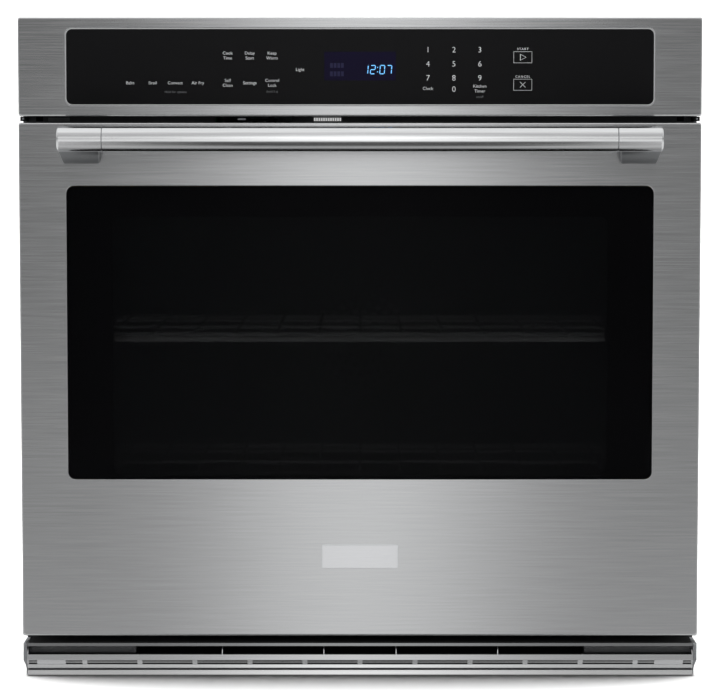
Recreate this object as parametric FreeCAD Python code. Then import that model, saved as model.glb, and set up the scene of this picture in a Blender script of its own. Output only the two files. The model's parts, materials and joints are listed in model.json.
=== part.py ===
import FreeCAD, Part
import math
import os

# A single wall oven for a kitchen cabinet. Millimetres. +X is right as the cook sees it,
# +Y runs back into the cabinet and +Z is up.
# While it is built, y = 0 is the cabinet's face and z = 0 is the underside of the chassis.
# save() then moves every piece so that the origin is the middle of the chassis underside.

# ---- overall sizes
OVEN_WIDTH = 755.65         # door and control panel, edge to edge
DOOR_HEIGHT = 573.0
PANEL_HEIGHT = 109.0        # control panel
CHASSIS_DEPTH = 590.0       # behind the cabinet's face
FACE_STANDOFF = 44.0        # door and panel face in front of the cabinet's face
CHASSIS_INSET = 20.3        # chassis side from the panel's edge
CHASSIS_DROP = 18.0         # chassis top below the panel's top
DOOR_BOTTOM = 19.0          # above the chassis underside
DOOR_GAP = 7.0              # between the door and the control panel

# ---- sheet and glass thicknesses
SHEET = 1.0                 # chassis panels
SKIN = 1.2                  # stainless skins and the enamelled liners
FRAME_SHEET = 1.5           # front frame
GLASS = 4.0

# ---- clearances
SEAT_GAP = 0.2              # between two pieces of one body
FIT_GAP = 0.3               # between bodies that pass each other
RUNNING_GAP = 0.05          # radial, shaft in bore

# ---- oven cavity
CAVITY_SIDE = 45.0          # chassis side to the inside of the cavity
CAVITY_RISE = 76.0          # cavity floor above the door's bottom
CAVITY_TOP_DROP = 52.0      # cavity ceiling below the door's top
CAVITY_DEPTH = 500.0
CAVITY_CORNER = 18.0
CAVITY_FLANGE = 24.0
GUIDE_COUNT = 6
GUIDE_PITCH = 54.67
GUIDE_FIRST = 28.7          # top of the lowest rack guide above the floor
GUIDE_DEPTH = 11.0
GUIDE_FRONT = 20.0
UPPER_RACK_GUIDE = 4
LOWER_RACK_GUIDE = 1

# ---- racks
RACK_DEPTH = 396.0
RACK_FRONT = 38.0           # behind the cabinet's face
RACK_RAIL_R = 3.25
RACK_WIRE_R = 2.1
RACK_PITCH = 47.6
RACK_SIDE_GAP = 3.25        # rack rail to cavity wall
RACK_CORNER = 16.0
RACK_WELD = 0.6             # how far welded wires sink into each other
RACK_SUPPORT_FIRST = 75.0   # first cross wire behind the front rail
RACK_SUPPORT_COUNT = 3

# ---- fans and heaters
FAN_R = 70.0
FAN_SHAFT_R = 4.0
FAN_COVER_DEPTH = 46.0
FAN_COVER_HALF = 132.0
FAN_BLADES = 8
ELEMENT_R = 3.2
FAN_RING_R = 92.0           # ring heater round the fan
FAN_LEG_X = 14.0
BROIL_LEG_X = 42.0
BROIL_DROP = 26.0           # broil heater below the ceiling
BAKE_LEG_X = 42.0
BAKE_DROP = 13.8            # bake heater under the cavity floor sheet
PROBE_X = -130.0
PROBE_R = 2.4
PROBE_DROP = 34.0
LAMP_X = -215.0
LAMP_DROP = 70.0
LAMP_R = 27.0
BLOWER_X = 150.0
BLOWER_Y = 380.0
BLOWER_R = 96.0
BLOWER_HEIGHT = 60.0
BLOWER_INTAKE_R = 56.0
WHEEL_R = 85.0
WHEEL_BLADES = 24
DUCT_HALF = 60.0

# ---- insulation
WRAP_TOP = 28.0
WRAP_BACK = 30.0
WRAP_BOTTOM = 28.0
BAKE_SPACE = 23.8           # under the cavity floor, for the bake element
PLENUM_HEIGHT = 37.0

# ---- door
HINGE_BEHIND_FACE = 16.0
HINGE_ABOVE_BOTTOM = 20.0
HINGE_X = 37.8              # hinge centre from the door's edge
HINGE_PIN_R = 4.0
HINGE_ARM_HALF = 9.0
HINGE_ARM_T = 6.0
HINGE_EAR_T = 2.5
HINGE_CHANNEL_W = 20.0
HINGE_CHANNEL_HEIGHT = 206.0
SPRING_R = 5.0
SPRING_WIRE_R = 0.9
SPRING_TURNS = 18
DOOR_BACK = 8.0             # door's back face in front of the cabinet's face
WINDOW_SIDE = 52.8          # glass edge from the door's edge
WINDOW_BOTTOM = 176.5       # glass bottom above the door's bottom
WINDOW_TOP = 70.0           # glass top below the door's top
WINDOW_CORNER = 8.0
PLUG_SIDE = 12.5            # between the door's plug and the cavity wall
PLUG_PROUD = 14.0           # behind the door's back face
VIEW_SIDE = 49.0            # edge of the see-through window inside the outer glass edge
VIEW_TOP = 31.0
VIEW_BOTTOM = 1.5
PACK_LAP = 13.0             # inner glass past the see-through window
PACK_SHEET = 2.0

# ---- handle
HANDLE_R = 13.8
HANDLE_STANDOFF = 50.0      # bar centre in front of the door face
HANDLE_DROP = 17.7          # bar centre below the door's top
HANDLE_INSET = 47.8         # end of the handle from the door's edge
HANDLE_CAP = 49.0           # length of each end piece
HANDLE_LEG_IN = 5.6         # leg inside the seam
HANDLE_LEG_OUT = 1.0
HANDLE_FOOT = 41.9
HANDLE_SCREW_R = 2.5

# ---- control panel
GLASS_SIDE = 52.4
GLASS_TOP = 12.0
GLASS_BOTTOM = 12.0
GLASS_CORNER = 7.5
GLASS_PROUD = 0.4
DISPLAY_HALF = 41.5
DISPLAY_HEIGHT = 36.0
DISPLAY_RISE = 37.5         # display module above the panel's bottom
TRAY_DEPTH = 20.8
TRAY_RIM = 10.0
TRAY_WALL = 2.0

# ---- bottom vent trim
TRIM_TOP = 10.4
TRIM_BOTTOM = -25.7
TRIM_SIDE = 0.75            # end cap from the door's edge
TRIM_CAP = 3.9
TRIM_LIP = 3.4
BAR_TOP = -2.2
BAR_BOTTOM = -8.3
LOWER_LIP_TOP = -14.3
LOWER_LIP_BOTTOM = -18.0
BOTTOM_BAR_TOP = -20.5
TRIM_SETBACK = 4.0          # lower lip behind the front bar
TRIM_GROOVE = 5.0           # depth of the groove between the lower lip and the bottom bar
TRAY_FLANGE = 15.7          # tray's back flange above the trim's bottom
UPPER_SLOT = (-10.4, -9.0)
LOWER_SLOT = (-13.6, -11.6)
TAB_PITCH = 61.7
TAB_COUNT = 5               # each side of the middle tab
TAB_HALF = 2.75
SLOT_END = 330.0            # the slotted part of the slope ends here, each side
END_SLOT = (362.5, 371.5)
RIB_PLACES = (40.5, 154.4)
BAFFLE_START = 252.0

# ---- front frame, switch and latch
FLANGE_SIDE = 0.8
FRAME_FOOT = 18.0
FRAME_TOP_DROP = 5.0
MOUNT_HOLE_X = 10.5         # cabinet screw holes from the oven's edge
MOUNT_HOLE_R = 2.6
MOUNT_HOLE_RISE = 110.0
MOUNT_HOLE_SPAN = 440.0
SCREW_R = 2.0
SWITCH_X = 180.0
PLUNGER_R = 4.0
LATCH_X = -100.0
LATCH_Y = 30.0
LATCH_REACH = 62.0
LATCH_SLOT = (-162.0, -76.0)
CONDUIT_X = 290.0
CONDUIT_Y = 520.0
CONDUIT_HOLE_R = 11.1
CONDUIT_BORE_R = 8.0

# ---- places that follow from the sizes above
HALF = OVEN_WIDTH / 2
FACE = -FACE_STANDOFF
SKIN_BACK = FACE + SKIN
DOOR_TOP = DOOR_BOTTOM + DOOR_HEIGHT
PANEL_BOTTOM = DOOR_TOP + DOOR_GAP
PANEL_TOP = PANEL_BOTTOM + PANEL_HEIGHT
CHASSIS_TOP = PANEL_TOP - CHASSIS_DROP
CHASSIS_HALF = HALF - CHASSIS_INSET
INNER_HALF = CHASSIS_HALF - SHEET
CAVITY_HALF = CHASSIS_HALF - CAVITY_SIDE
FLOOR = DOOR_BOTTOM + CAVITY_RISE
CEILING = DOOR_TOP - CAVITY_TOP_DROP
CAVITY_FRONT = -FRAME_SHEET - SKIN
CAVITY_BACK = CAVITY_FRONT + CAVITY_DEPTH
WRAP_HALF = CHASSIS_HALF - 5.5
WRAP_REAR = CAVITY_BACK + SKIN + 1.5 + WRAP_BACK
DECK = CEILING + SKIN + 1.8 + WRAP_TOP
FAN_Z = (FLOOR + CEILING) / 2
HINGE_Y = FACE + HINGE_BEHIND_FACE
HINGE_Z = DOOR_BOTTOM + HINGE_ABOVE_BOTTOM
HINGE_CENTRE = HALF - HINGE_X
DOOR_REAR = -DOOR_BACK
LINER_FRONT = DOOR_REAR - SKIN
PLUG_HALF = CAVITY_HALF - PLUG_SIDE
PLUG_FACE = DOOR_REAR + PLUG_PROUD
WINDOW_HALF = HALF - WINDOW_SIDE
WINDOW_LOW = DOOR_BOTTOM + WINDOW_BOTTOM
WINDOW_HIGH = DOOR_TOP - WINDOW_TOP
VIEW_HALF = WINDOW_HALF - VIEW_SIDE
VIEW_LOW = WINDOW_LOW + VIEW_BOTTOM
VIEW_HIGH = WINDOW_HIGH - VIEW_TOP
PACK_HALF = VIEW_HALF + PACK_LAP + PACK_SHEET + SEAT_GAP
PACK_LOW = VIEW_LOW - PACK_LAP - PACK_SHEET - SEAT_GAP
PACK_HIGH = VIEW_HIGH + PACK_LAP + PACK_SHEET + SEAT_GAP
PACK_FRONT = FACE + GLASS + SEAT_GAP
PACK_REAR = PLUG_FACE - SKIN - SEAT_GAP
HANDLE_Y = FACE - HANDLE_STANDOFF
HANDLE_Z = DOOR_TOP - HANDLE_DROP
HANDLE_END = HALF - HANDLE_INSET
HANDLE_SEAM = HANDLE_END - HANDLE_CAP
LEG_MIDDLE = (HANDLE_SEAM + HANDLE_LEG_IN + HANDLE_END - HANDLE_LEG_OUT) / 2
CONTROL_HALF = HALF - GLASS_SIDE
CONTROL_LOW = PANEL_BOTTOM + GLASS_BOTTOM
CONTROL_HIGH = PANEL_TOP - GLASS_TOP
CONTROL_REAR = FACE - GLASS_PROUD + GLASS
DISPLAY_LOW = PANEL_BOTTOM + DISPLAY_RISE
FRAME_HALF = HALF - FLANGE_SIDE
FRAME_TOP = PANEL_TOP - FRAME_TOP_DROP
TRIM_HALF = HALF - TRIM_SIDE - TRIM_CAP
GUIDE_TOPS = [FLOOR + GUIDE_FIRST + i * GUIDE_PITCH for i in range(GUIDE_COUNT)]
PROBE_Z = CEILING - PROBE_DROP
LAMP_Z = CEILING - LAMP_DROP
BROIL_Z = CEILING - BROIL_DROP
BAKE_Z = FLOOR - SKIN - BAKE_DROP
FAN_LEG_Z = FAN_Z + math.sqrt(FAN_RING_R ** 2 - FAN_LEG_X ** 2)
SIDE_SCREWS = [FLOOR + 25, (FLOOR + CEILING) / 2 + 12, CEILING]


# ---- plain shapes
def vec(x, y, z):
    return FreeCAD.Vector(x, y, z)


def box(x0, x1, y0, y1, z0, z1):
    return Part.makeBox(x1 - x0, y1 - y0, z1 - z0, vec(x0, y0, z0))


def rod_x(x0, x1, y, z, r):
    return Part.makeCylinder(r, x1 - x0, vec(x0, y, z), vec(1, 0, 0))


def rod_y(x, y0, y1, z, r):
    return Part.makeCylinder(r, y1 - y0, vec(x, y0, z), vec(0, 1, 0))


def rod_z(x, y, z0, z1, r):
    return Part.makeCylinder(r, z1 - z0, vec(x, y, z0), vec(0, 0, 1))


def prism_x(outline, x0, x1):
    """A (y, z) outline carried from x0 to x1."""
    points = [vec(x0, y, z) for y, z in outline]
    face = Part.Face(Part.makePolygon(points + points[:1]))
    return face.extrude(vec(x1 - x0, 0, 0))


def prism_y(outline, y0, y1):
    """An (x, z) outline carried from y0 to y1."""
    points = [vec(x, y0, z) for x, z in outline]
    face = Part.Face(Part.makePolygon(points + points[:1]))
    return face.extrude(vec(0, y1 - y0, 0))


def slab(half, z0, z1, y0, y1, corner):
    """A plate across the front of the oven with its four corners rounded."""
    plate = box(-half, half, y0, y1, z0, z1)
    edges = [e for e in plate.Edges if abs(e.tangentAt(e.FirstParameter).y) > 0.9]
    return plate.makeFillet(corner, edges)


def mirrored(shape):
    return shape.mirror(vec(0, 0, 0), vec(1, 0, 0))


def pair(shape):
    return [shape, mirrored(shape)]


def joined(shapes):
    return shapes[0].fuse(shapes[1:]).removeSplitter()


def tube(points, r, bend):
    """A round bar along straight runs with a tangent arc of radius bend at each inner point."""
    edges = []
    last = points[0]
    for before, corner, after in zip(points, points[1:], points[2:]):
        way_in = (corner - before).normalize()
        way_out = (after - corner).normalize()
        turn = way_in.getAngle(way_out)
        reach = bend * math.tan(turn / 2)
        start = corner - way_in * reach
        end = corner + way_out * reach
        middle = (way_out - way_in).normalize()
        centre_gap = bend / math.cos(turn / 2)
        crown = corner + middle * (centre_gap - bend)
        edges.append(Part.LineSegment(last, start).toShape())
        edges.append(Part.Arc(start, crown, end).toShape())
        last = end
    edges.append(Part.LineSegment(last, points[-1]).toShape())
    path = Part.Wire(edges)
    section = Part.Wire(Part.makeCircle(r, points[0], points[1] - points[0]))
    return path.makePipeShell([section], True, True)


def save(name, *shapes):
    whole = shapes[0].copy() if len(shapes) == 1 else Part.makeCompound(list(shapes))
    whole.translate(vec(0, -CHASSIS_DEPTH / 2, 0))
    whole.exportStep("parts/" + name + ".step")


# ---- chassis
def base_pan():
    plate = box(-CHASSIS_HALF, CHASSIS_HALF, 0, CHASSIS_DEPTH, 0, SHEET)
    edge = INNER_HALF - SEAT_GAP
    upstand = box(edge - SHEET, edge, 3, CHASSIS_DEPTH - 3, 0, 15)
    return joined([plate] + pair(upstand))


def side_panel():
    """The right-hand side sheet with its folded front and top edges and cooling slots."""
    sheet = box(INNER_HALF, CHASSIS_HALF, 0, CHASSIS_DEPTH, SHEET, CHASSIS_TOP)
    front = box(INNER_HALF - 15.5, INNER_HALF + 0.5, 0, SHEET, 60, CHASSIS_TOP - SHEET)
    top_fold = box(INNER_HALF - 11.5, INNER_HALF + 0.5, 0, CHASSIS_DEPTH - SHEET,
                   CHASSIS_TOP - 2 * SHEET, CHASSIS_TOP - SHEET)
    panel = joined([sheet, front, top_fold])
    slots = []
    for i in range(14):
        y = 190 + 22 * i
        slots.append(box(INNER_HALF - 1, CHASSIS_HALF + 1, y, y + 7, CHASSIS_TOP - 84, CHASSIS_TOP - 34))
    for z in SIDE_SCREWS:
        slots.append(rod_y(INNER_HALF - 7.5, -1, 3, z, SCREW_R + RUNNING_GAP))
    return panel.cut(slots)


def back_panel():
    sheet = box(-INNER_HALF, INNER_HALF, CHASSIS_DEPTH - SHEET, CHASSIS_DEPTH, SHEET, CHASSIS_TOP - SHEET)
    slots = []
    for i in range(-9, 10):
        x = i * 24
        slots.append(box(x - 4, x + 4, CHASSIS_DEPTH - 3, CHASSIS_DEPTH + 3,
                         CHASSIS_TOP - 55, CHASSIS_TOP - 22))
        slots.append(box(x - 4, x + 4, CHASSIS_DEPTH - 3, CHASSIS_DEPTH + 3, FAN_Z - 120, FAN_Z - 80))
    return sheet.cut(slots)


def top_panel():
    sheet = box(-INNER_HALF, INNER_HALF, 0, CHASSIS_DEPTH, CHASSIS_TOP - SHEET, CHASSIS_TOP)
    cuts = [rod_z(-CONDUIT_X, CONDUIT_Y, CHASSIS_TOP - 5, CHASSIS_TOP + 5, CONDUIT_HOLE_R)]
    for i in range(9):
        x = BLOWER_X - 96 + i * 24
        cuts.append(box(x - 4, x + 4, 60, 130, CHASSIS_TOP - 3, CHASSIS_TOP + 3))
    return sheet.cut(cuts)


def front_frame():
    """The flat frame that stops the oven against the cabinet's face."""
    plate = slab(FRAME_HALF, -FRAME_FOOT, FRAME_TOP, -FRAME_SHEET, 0, 3.0)
    rear = 3.0
    wall = SKIN + 0.4
    mouth = slab(CAVITY_HALF + wall, FLOOR - wall, CEILING + wall, -5, rear, CAVITY_CORNER + wall)
    wiring = slab(CAVITY_HALF - 30, PANEL_BOTTOM + 14, CHASSIS_TOP - 12, -5, rear, 6)
    cuts = [mouth, wiring]
    cuts.append(rod_y(SWITCH_X, -5, rear, DECK + 11, PLUNGER_R + 2))
    cuts.append(box(LATCH_SLOT[0], LATCH_SLOT[1], -5, rear, DOOR_TOP + 0.6, PANEL_BOTTOM - 0.6))
    slot = HINGE_ARM_HALF + 1
    arm_slot = box(HINGE_CENTRE - 7, HINGE_CENTRE + 7, -5, rear, HINGE_Z - slot, HINGE_Z + slot)
    cuts += pair(arm_slot)
    for z in (MOUNT_HOLE_RISE, MOUNT_HOLE_RISE + MOUNT_HOLE_SPAN):
        cuts += pair(rod_y(HALF - MOUNT_HOLE_X, -5, rear, z, MOUNT_HOLE_R))
    for z in SIDE_SCREWS:
        cuts += pair(rod_y(INNER_HALF - 7.5, -5, rear, z, SCREW_R + RUNNING_GAP))
    for i in range(-4, 5):
        cuts.append(box(i * 62 - 26, i * 62 + 26, -5, rear, 2.5, 9.5))
    return plate.cut(cuts)


def chassis_screws():
    screws = []
    for z in SIDE_SCREWS:
        x = INNER_HALF - 7.5
        front = -FRAME_SHEET - 2.2
        head = rod_y(x, front, -FRAME_SHEET, z, 4.0)
        rim = [e for e in head.Edges if e.BoundBox.YMax < front + 0.01]
        head = head.makeFillet(1.0, rim)
        recess = box(x - 3, x + 3, -FRAME_SHEET - 3, -FRAME_SHEET - 1.2, z - 0.5, z + 0.5)
        recess = recess.fuse(box(x - 0.5, x + 0.5, -FRAME_SHEET - 3, -FRAME_SHEET - 1.2, z - 3, z + 3))
        shank = rod_y(x, -FRAME_SHEET - 0.5, 8, z, SCREW_R)
        screws += pair(joined([head, shank]).cut(recess))
    return screws


def component_deck():
    """Shelf over the insulation that carries the electrics and the blower."""
    return box(-INNER_HALF + SEAT_GAP, INNER_HALF - SEAT_GAP, 2, WRAP_REAR, DECK, DECK + SHEET)


def base_air_plenum():
    """Flat duct under the oven that lets the cooling air out at the bottom trim."""
    half = CAVITY_HALF + 2.5
    top = SHEET + PLENUM_HEIGHT
    shell = box(-half, half, 2, CHASSIS_DEPTH - 2, SHEET, top)
    hollow = box(-half + SHEET, half - SHEET, 0, CHASSIS_DEPTH - 3, 2 * SHEET, top - SHEET)
    inlet = box(BLOWER_X - DUCT_HALF + 1, BLOWER_X + DUCT_HALF - 1, WRAP_REAR + 2, CHASSIS_DEPTH - 3,
                top - 2, top + 2)
    return shell.cut([hollow, inlet])


def rear_air_duct():
    """Upright duct from the blower down to the plenum."""
    low = SHEET + PLENUM_HEIGHT
    high = DECK + SHEET + BLOWER_HEIGHT + 4
    x0, x1 = BLOWER_X - DUCT_HALF, BLOWER_X + DUCT_HALF
    y0, y1 = WRAP_REAR + 1, CHASSIS_DEPTH - 2
    shell = box(x0, x1, y0, y1, low, high)
    hollow = box(x0 + 1, x1 - 1, y0 + 1, y1 - 1, low - 1, high - 1)
    window = box(x0 + 1, x1 - 1, y0 - 1, y0 + 2, DECK + 2 * SHEET, DECK + BLOWER_HEIGHT)
    return shell.cut([hollow, window])


# ---- oven cavity and what is round it
def oven_cavity():
    """Enamelled liner: a deep box with a front flange, rack guides and holes in its back."""
    low, high, half = FLOOR - SKIN, CEILING + SKIN, CAVITY_HALF + SKIN
    outer = slab(half, low, high, CAVITY_FRONT, CAVITY_BACK + SKIN, CAVITY_CORNER + SKIN)
    lip = SKIN + CAVITY_FLANGE
    flange = slab(CAVITY_HALF + lip, FLOOR - lip + 4, CEILING + lip - 4, CAVITY_FRONT,
                  CAVITY_FRONT + SKIN, CAVITY_CORNER)
    inner = slab(CAVITY_HALF, FLOOR, CEILING, CAVITY_FRONT - 1, CAVITY_BACK, CAVITY_CORNER)
    shell = outer.fuse(flange).cut(inner)
    back = CAVITY_BACK - FAN_COVER_DEPTH - 12
    guides = []
    for top in GUIDE_TOPS:
        root = CAVITY_HALF + SKIN / 2
        tip = CAVITY_HALF - GUIDE_DEPTH
        outline = [(root, top - 13), (tip, top - 7), (tip, top), (root, top)]
        guides += pair(prism_y(outline, GUIDE_FRONT, back))
    shell = shell.fuse(guides).removeSplitter()
    y0, y1 = CAVITY_BACK - 1, CAVITY_BACK + 3
    holes = [rod_y(0, y0, y1, FAN_Z, FAN_SHAFT_R + 3)]
    holes.append(rod_y(PROBE_X, y0, y1, PROBE_Z, 3.2))
    holes.append(rod_y(LAMP_X, y0, y1, LAMP_Z, LAMP_R + SEAT_GAP))
    holes += pair(rod_y(BROIL_LEG_X, y0, y1, BROIL_Z, ELEMENT_R + 1))
    holes += pair(rod_y(FAN_LEG_X, y0, y1, FAN_LEG_Z, ELEMENT_R + 1))
    return shell.cut(holes)


def insulation_wrap():
    """Mineral wool round five sides of the cavity, with holes for what goes through it."""
    low = FLOOR - SKIN - BAKE_SPACE - WRAP_BOTTOM
    front = 12.0
    rear = CAVITY_BACK + SKIN + 1.5
    outer = box(-WRAP_HALF, WRAP_HALF, front, WRAP_REAR, low, DECK)
    inner_half = CAVITY_HALF + SKIN + 1.3
    inner = box(-inner_half, inner_half, front - 1, rear, FLOOR - SKIN - BAKE_SPACE,
                CEILING + SKIN + 1.8)
    y0, y1 = rear - 1, WRAP_REAR + 1
    cuts = [inner, rod_y(0, y0, y1, FAN_Z, FAN_SHAFT_R + 5)]
    cuts.append(rod_y(PROBE_X, y0, y1, PROBE_Z, 5))
    cuts.append(rod_y(LAMP_X, y0, y1, LAMP_Z, LAMP_R + 4))
    cuts += pair(rod_y(BROIL_LEG_X, y0, y1, BROIL_Z, ELEMENT_R + 2))
    cuts += pair(rod_y(BAKE_LEG_X, y0, y1, BAKE_Z, ELEMENT_R + 2))
    cuts += pair(rod_y(FAN_LEG_X, y0, y1, FAN_LEG_Z, ELEMENT_R + 2))
    pocket = box(HINGE_CENTRE - 22, WRAP_HALF + 1, front - 1, 99, low - 1, HINGE_Z + 23)
    cuts += pair(pocket)
    return outer.cut(cuts)


def door_gasket():
    """Woven seal on the cavity's flange, nearly as deep as the gap to the door."""
    y1 = CAVITY_FRONT
    y0 = DOOR_REAR + FIT_GAP
    outer = slab(CAVITY_HALF + 18, FLOOR - 15, CEILING + 15, y0, y1, CAVITY_CORNER + 8)
    inner = slab(CAVITY_HALF + 9, FLOOR - 6, CEILING + 6, y0 - 1, y1 + 1, CAVITY_CORNER + 3)
    ring = outer.cut(inner)
    front = [e for e in ring.Edges if abs(e.BoundBox.YMax - y0) < 0.01 and abs(e.BoundBox.YMin - y0) < 0.01]
    return ring.makeFillet(2.0, front)


def broil_element():
    """Heater under the ceiling: one bar folded into loops, its two ends through the back."""
    z = BROIL_Z
    rear = CAVITY_BACK + SKIN + 24
    near, far = 70.0, CAVITY_BACK - FAN_COVER_DEPTH - 30
    wide, mid = CAVITY_HALF - 50, CAVITY_HALF - 140
    right = [vec(BROIL_LEG_X, rear, z), vec(BROIL_LEG_X, far, z), vec(wide, far, z), vec(wide, near, z),
             vec(mid, near, z), vec(mid, far - 60, z), vec(BROIL_LEG_X + 40, far - 60, z),
             vec(BROIL_LEG_X + 40, near, z), vec(0, near, z)]
    left = [vec(-p.x, p.y, p.z) for p in reversed(right[:-1])]
    return tube(right[:-1] + left, ELEMENT_R, 18.0)


def bake_element():
    """Heater under the floor of the cavity."""
    z = BAKE_Z
    rear = CAVITY_BACK + SKIN + 24
    near, far = 70.0, CAVITY_BACK - 60
    wide, mid = CAVITY_HALF - 55, CAVITY_HALF - 170
    right = [vec(BAKE_LEG_X, rear, z), vec(BAKE_LEG_X, far, z), vec(wide, far, z), vec(wide, near, z),
             vec(mid, near, z), vec(mid, far - 90, z)]
    left = [vec(-p.x, p.y, p.z) for p in reversed(right)]
    return tube(right + left, ELEMENT_R, 20.0)


def convection_element():
    """Ring heater round the fan: a part turn of bar with two legs through the back."""
    y = CAVITY_BACK - 24
    rear = CAVITY_BACK + SKIN + 24
    r = FAN_RING_R
    lean = math.asin(FAN_LEG_X / r)
    top = FAN_LEG_Z
    ring = Part.Arc(vec(FAN_LEG_X, y, top), vec(0, y, FAN_Z - r), vec(-FAN_LEG_X, y, top)).toShape()
    circle = Part.Wire(Part.makeCircle(ELEMENT_R, vec(FAN_LEG_X, y, top), vec(math.cos(lean), 0, -math.sin(lean))))
    bar = Part.Wire([ring]).makePipeShell([circle], True, True)
    legs = []
    for x in (FAN_LEG_X, -FAN_LEG_X):
        legs.append(rod_y(x, y, rear, top, ELEMENT_R))
        legs.append(Part.makeSphere(ELEMENT_R, vec(x, y, top)))
    return joined([bar] + legs)


def fan_cover():
    """Pressed cover over the fan, with intake holes in the middle and outlets round the edge."""
    y0 = CAVITY_BACK - FAN_COVER_DEPTH
    low, high = FAN_Z - FAN_COVER_HALF, FAN_Z + FAN_COVER_HALF
    outer = slab(FAN_COVER_HALF, low, high, y0, CAVITY_BACK, 22)
    inner = slab(FAN_COVER_HALF - SHEET, low + SHEET, high - SHEET, y0 + SHEET, CAVITY_BACK + 1, 21)
    cuts = []
    for ring in range(1, 6):
        radius = 11.5 * ring
        count = 6 * ring
        for i in range(count):
            a = 2 * math.pi * i / count
            cuts.append(rod_y(radius * math.cos(a), y0 - 1, y0 + 3, FAN_Z + radius * math.sin(a), 3.4))
    for i in range(-4, 5):
        z = FAN_Z + i * 22
        cuts += pair(box(FAN_COVER_HALF - 3, FAN_COVER_HALF + 3, y0 + 14, y0 + 34, z - 5, z + 5))
    return outer.cut(inner).cut(cuts)


def convection_fan_blade():
    y1 = CAVITY_BACK - 8
    disc = rod_y(0, y1 - 1.5, y1, FAN_Z, FAN_R)
    hub = rod_y(0, y1 - 20, y1 + 2, FAN_Z, 11)
    shaft = rod_y(0, y1 - 18, WRAP_REAR + 24, FAN_Z, FAN_SHAFT_R)
    parts = [disc, hub, shaft]
    for i in range(FAN_BLADES):
        blade = box(24, FAN_R - 2, y1 - 22, y1 - 1, FAN_Z - 0.8, FAN_Z + 0.8)
        blade.rotate(vec(24, 0, FAN_Z), vec(0, 1, 0), 22)
        blade.rotate(vec(0, 0, FAN_Z), vec(0, 1, 0), 360.0 * i / FAN_BLADES)
        parts.append(blade)
    return joined(parts)


def convection_motor():
    y0 = WRAP_REAR
    plate = slab(46, FAN_Z - 46, FAN_Z + 46, y0, y0 + 2, 6)
    body = rod_y(0, y0 + 1, y0 + 46, FAN_Z, 31)
    bell = rod_y(0, y0 + 45, y0 + 52, FAN_Z, 18)
    bore = rod_y(0, y0 - 1, y0 + 26, FAN_Z, FAN_SHAFT_R + RUNNING_GAP)
    return joined([plate, body, bell]).cut(bore)


def temperature_probe():
    x, z = PROBE_X, PROBE_Z
    rod = rod_y(x, CAVITY_BACK - 75, CAVITY_BACK + 36, z, PROBE_R)
    tip = Part.makeSphere(PROBE_R, vec(x, CAVITY_BACK - 75, z))
    plate = box(x - 7, x + 17, CAVITY_BACK - 1.2, CAVITY_BACK, z - 7, z + 7)
    return joined([rod, tip, plate])


def lamp_housing():
    """Cup for the lamp, let into the back wall from behind."""
    y0, y1 = CAVITY_BACK + SKIN, CAVITY_BACK + SKIN + 40
    cup = rod_y(LAMP_X, y0, y1, LAMP_Z, LAMP_R)
    rim = rod_y(LAMP_X, y0, y0 + 1.2, LAMP_Z, LAMP_R + 3.5)
    hollow = rod_y(LAMP_X, y0 - 1, y1 - 2, LAMP_Z, LAMP_R - 1.5)
    holder = rod_y(LAMP_X, y1 - 3, y1 + 10, LAMP_Z, 12)
    return joined([cup, rim]).cut(hollow).fuse(holder).removeSplitter()


def lamp_bulb():
    y = CAVITY_BACK + SKIN + 20
    glass = Part.makeSphere(11, vec(LAMP_X, y, LAMP_Z))
    neck = rod_y(LAMP_X, y, CAVITY_BACK + SKIN + 37, LAMP_Z, 6)
    return joined([glass, neck])


def lamp_lens():
    """Screw-in glass dome over the lamp, proud of the back wall."""
    y0 = CAVITY_BACK - 12
    dome = rod_y(LAMP_X, y0, CAVITY_BACK, LAMP_Z, LAMP_R + 4)
    front = [e for e in dome.Edges if abs(e.BoundBox.YMax - y0) < 0.01]
    dome = dome.makeFillet(7, front)
    neck = rod_y(LAMP_X, CAVITY_BACK - 1, CAVITY_BACK + SKIN + 6, LAMP_Z, LAMP_R - 2)
    hollow = rod_y(LAMP_X, y0 + 4, CAVITY_BACK + SKIN + 7, LAMP_Z, LAMP_R - 6)
    return joined([dome, neck]).cut(hollow)


# ---- cooling blower
def cooling_blower_housing():
    z0, z1 = DECK + SHEET, DECK + SHEET + BLOWER_HEIGHT
    y1 = WRAP_REAR + 1
    x0, x1 = BLOWER_X - DUCT_HALF, BLOWER_X + DUCT_HALF
    outer = rod_z(BLOWER_X, BLOWER_Y, z0, z1, BLOWER_R).fuse(box(x0, x1, BLOWER_Y, y1, z0, z1))
    inner = rod_z(BLOWER_X, BLOWER_Y, z0 + 1, z1 - 1, BLOWER_R - 1)
    inner = inner.fuse(box(x0 + 1, x1 - 1, BLOWER_Y, y1 + 1, z0 + 1, z1 - 1))
    intake = rod_z(BLOWER_X, BLOWER_Y, z1 - 3, z1 + 3, BLOWER_INTAKE_R)
    return outer.removeSplitter().cut([inner, intake])


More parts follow.
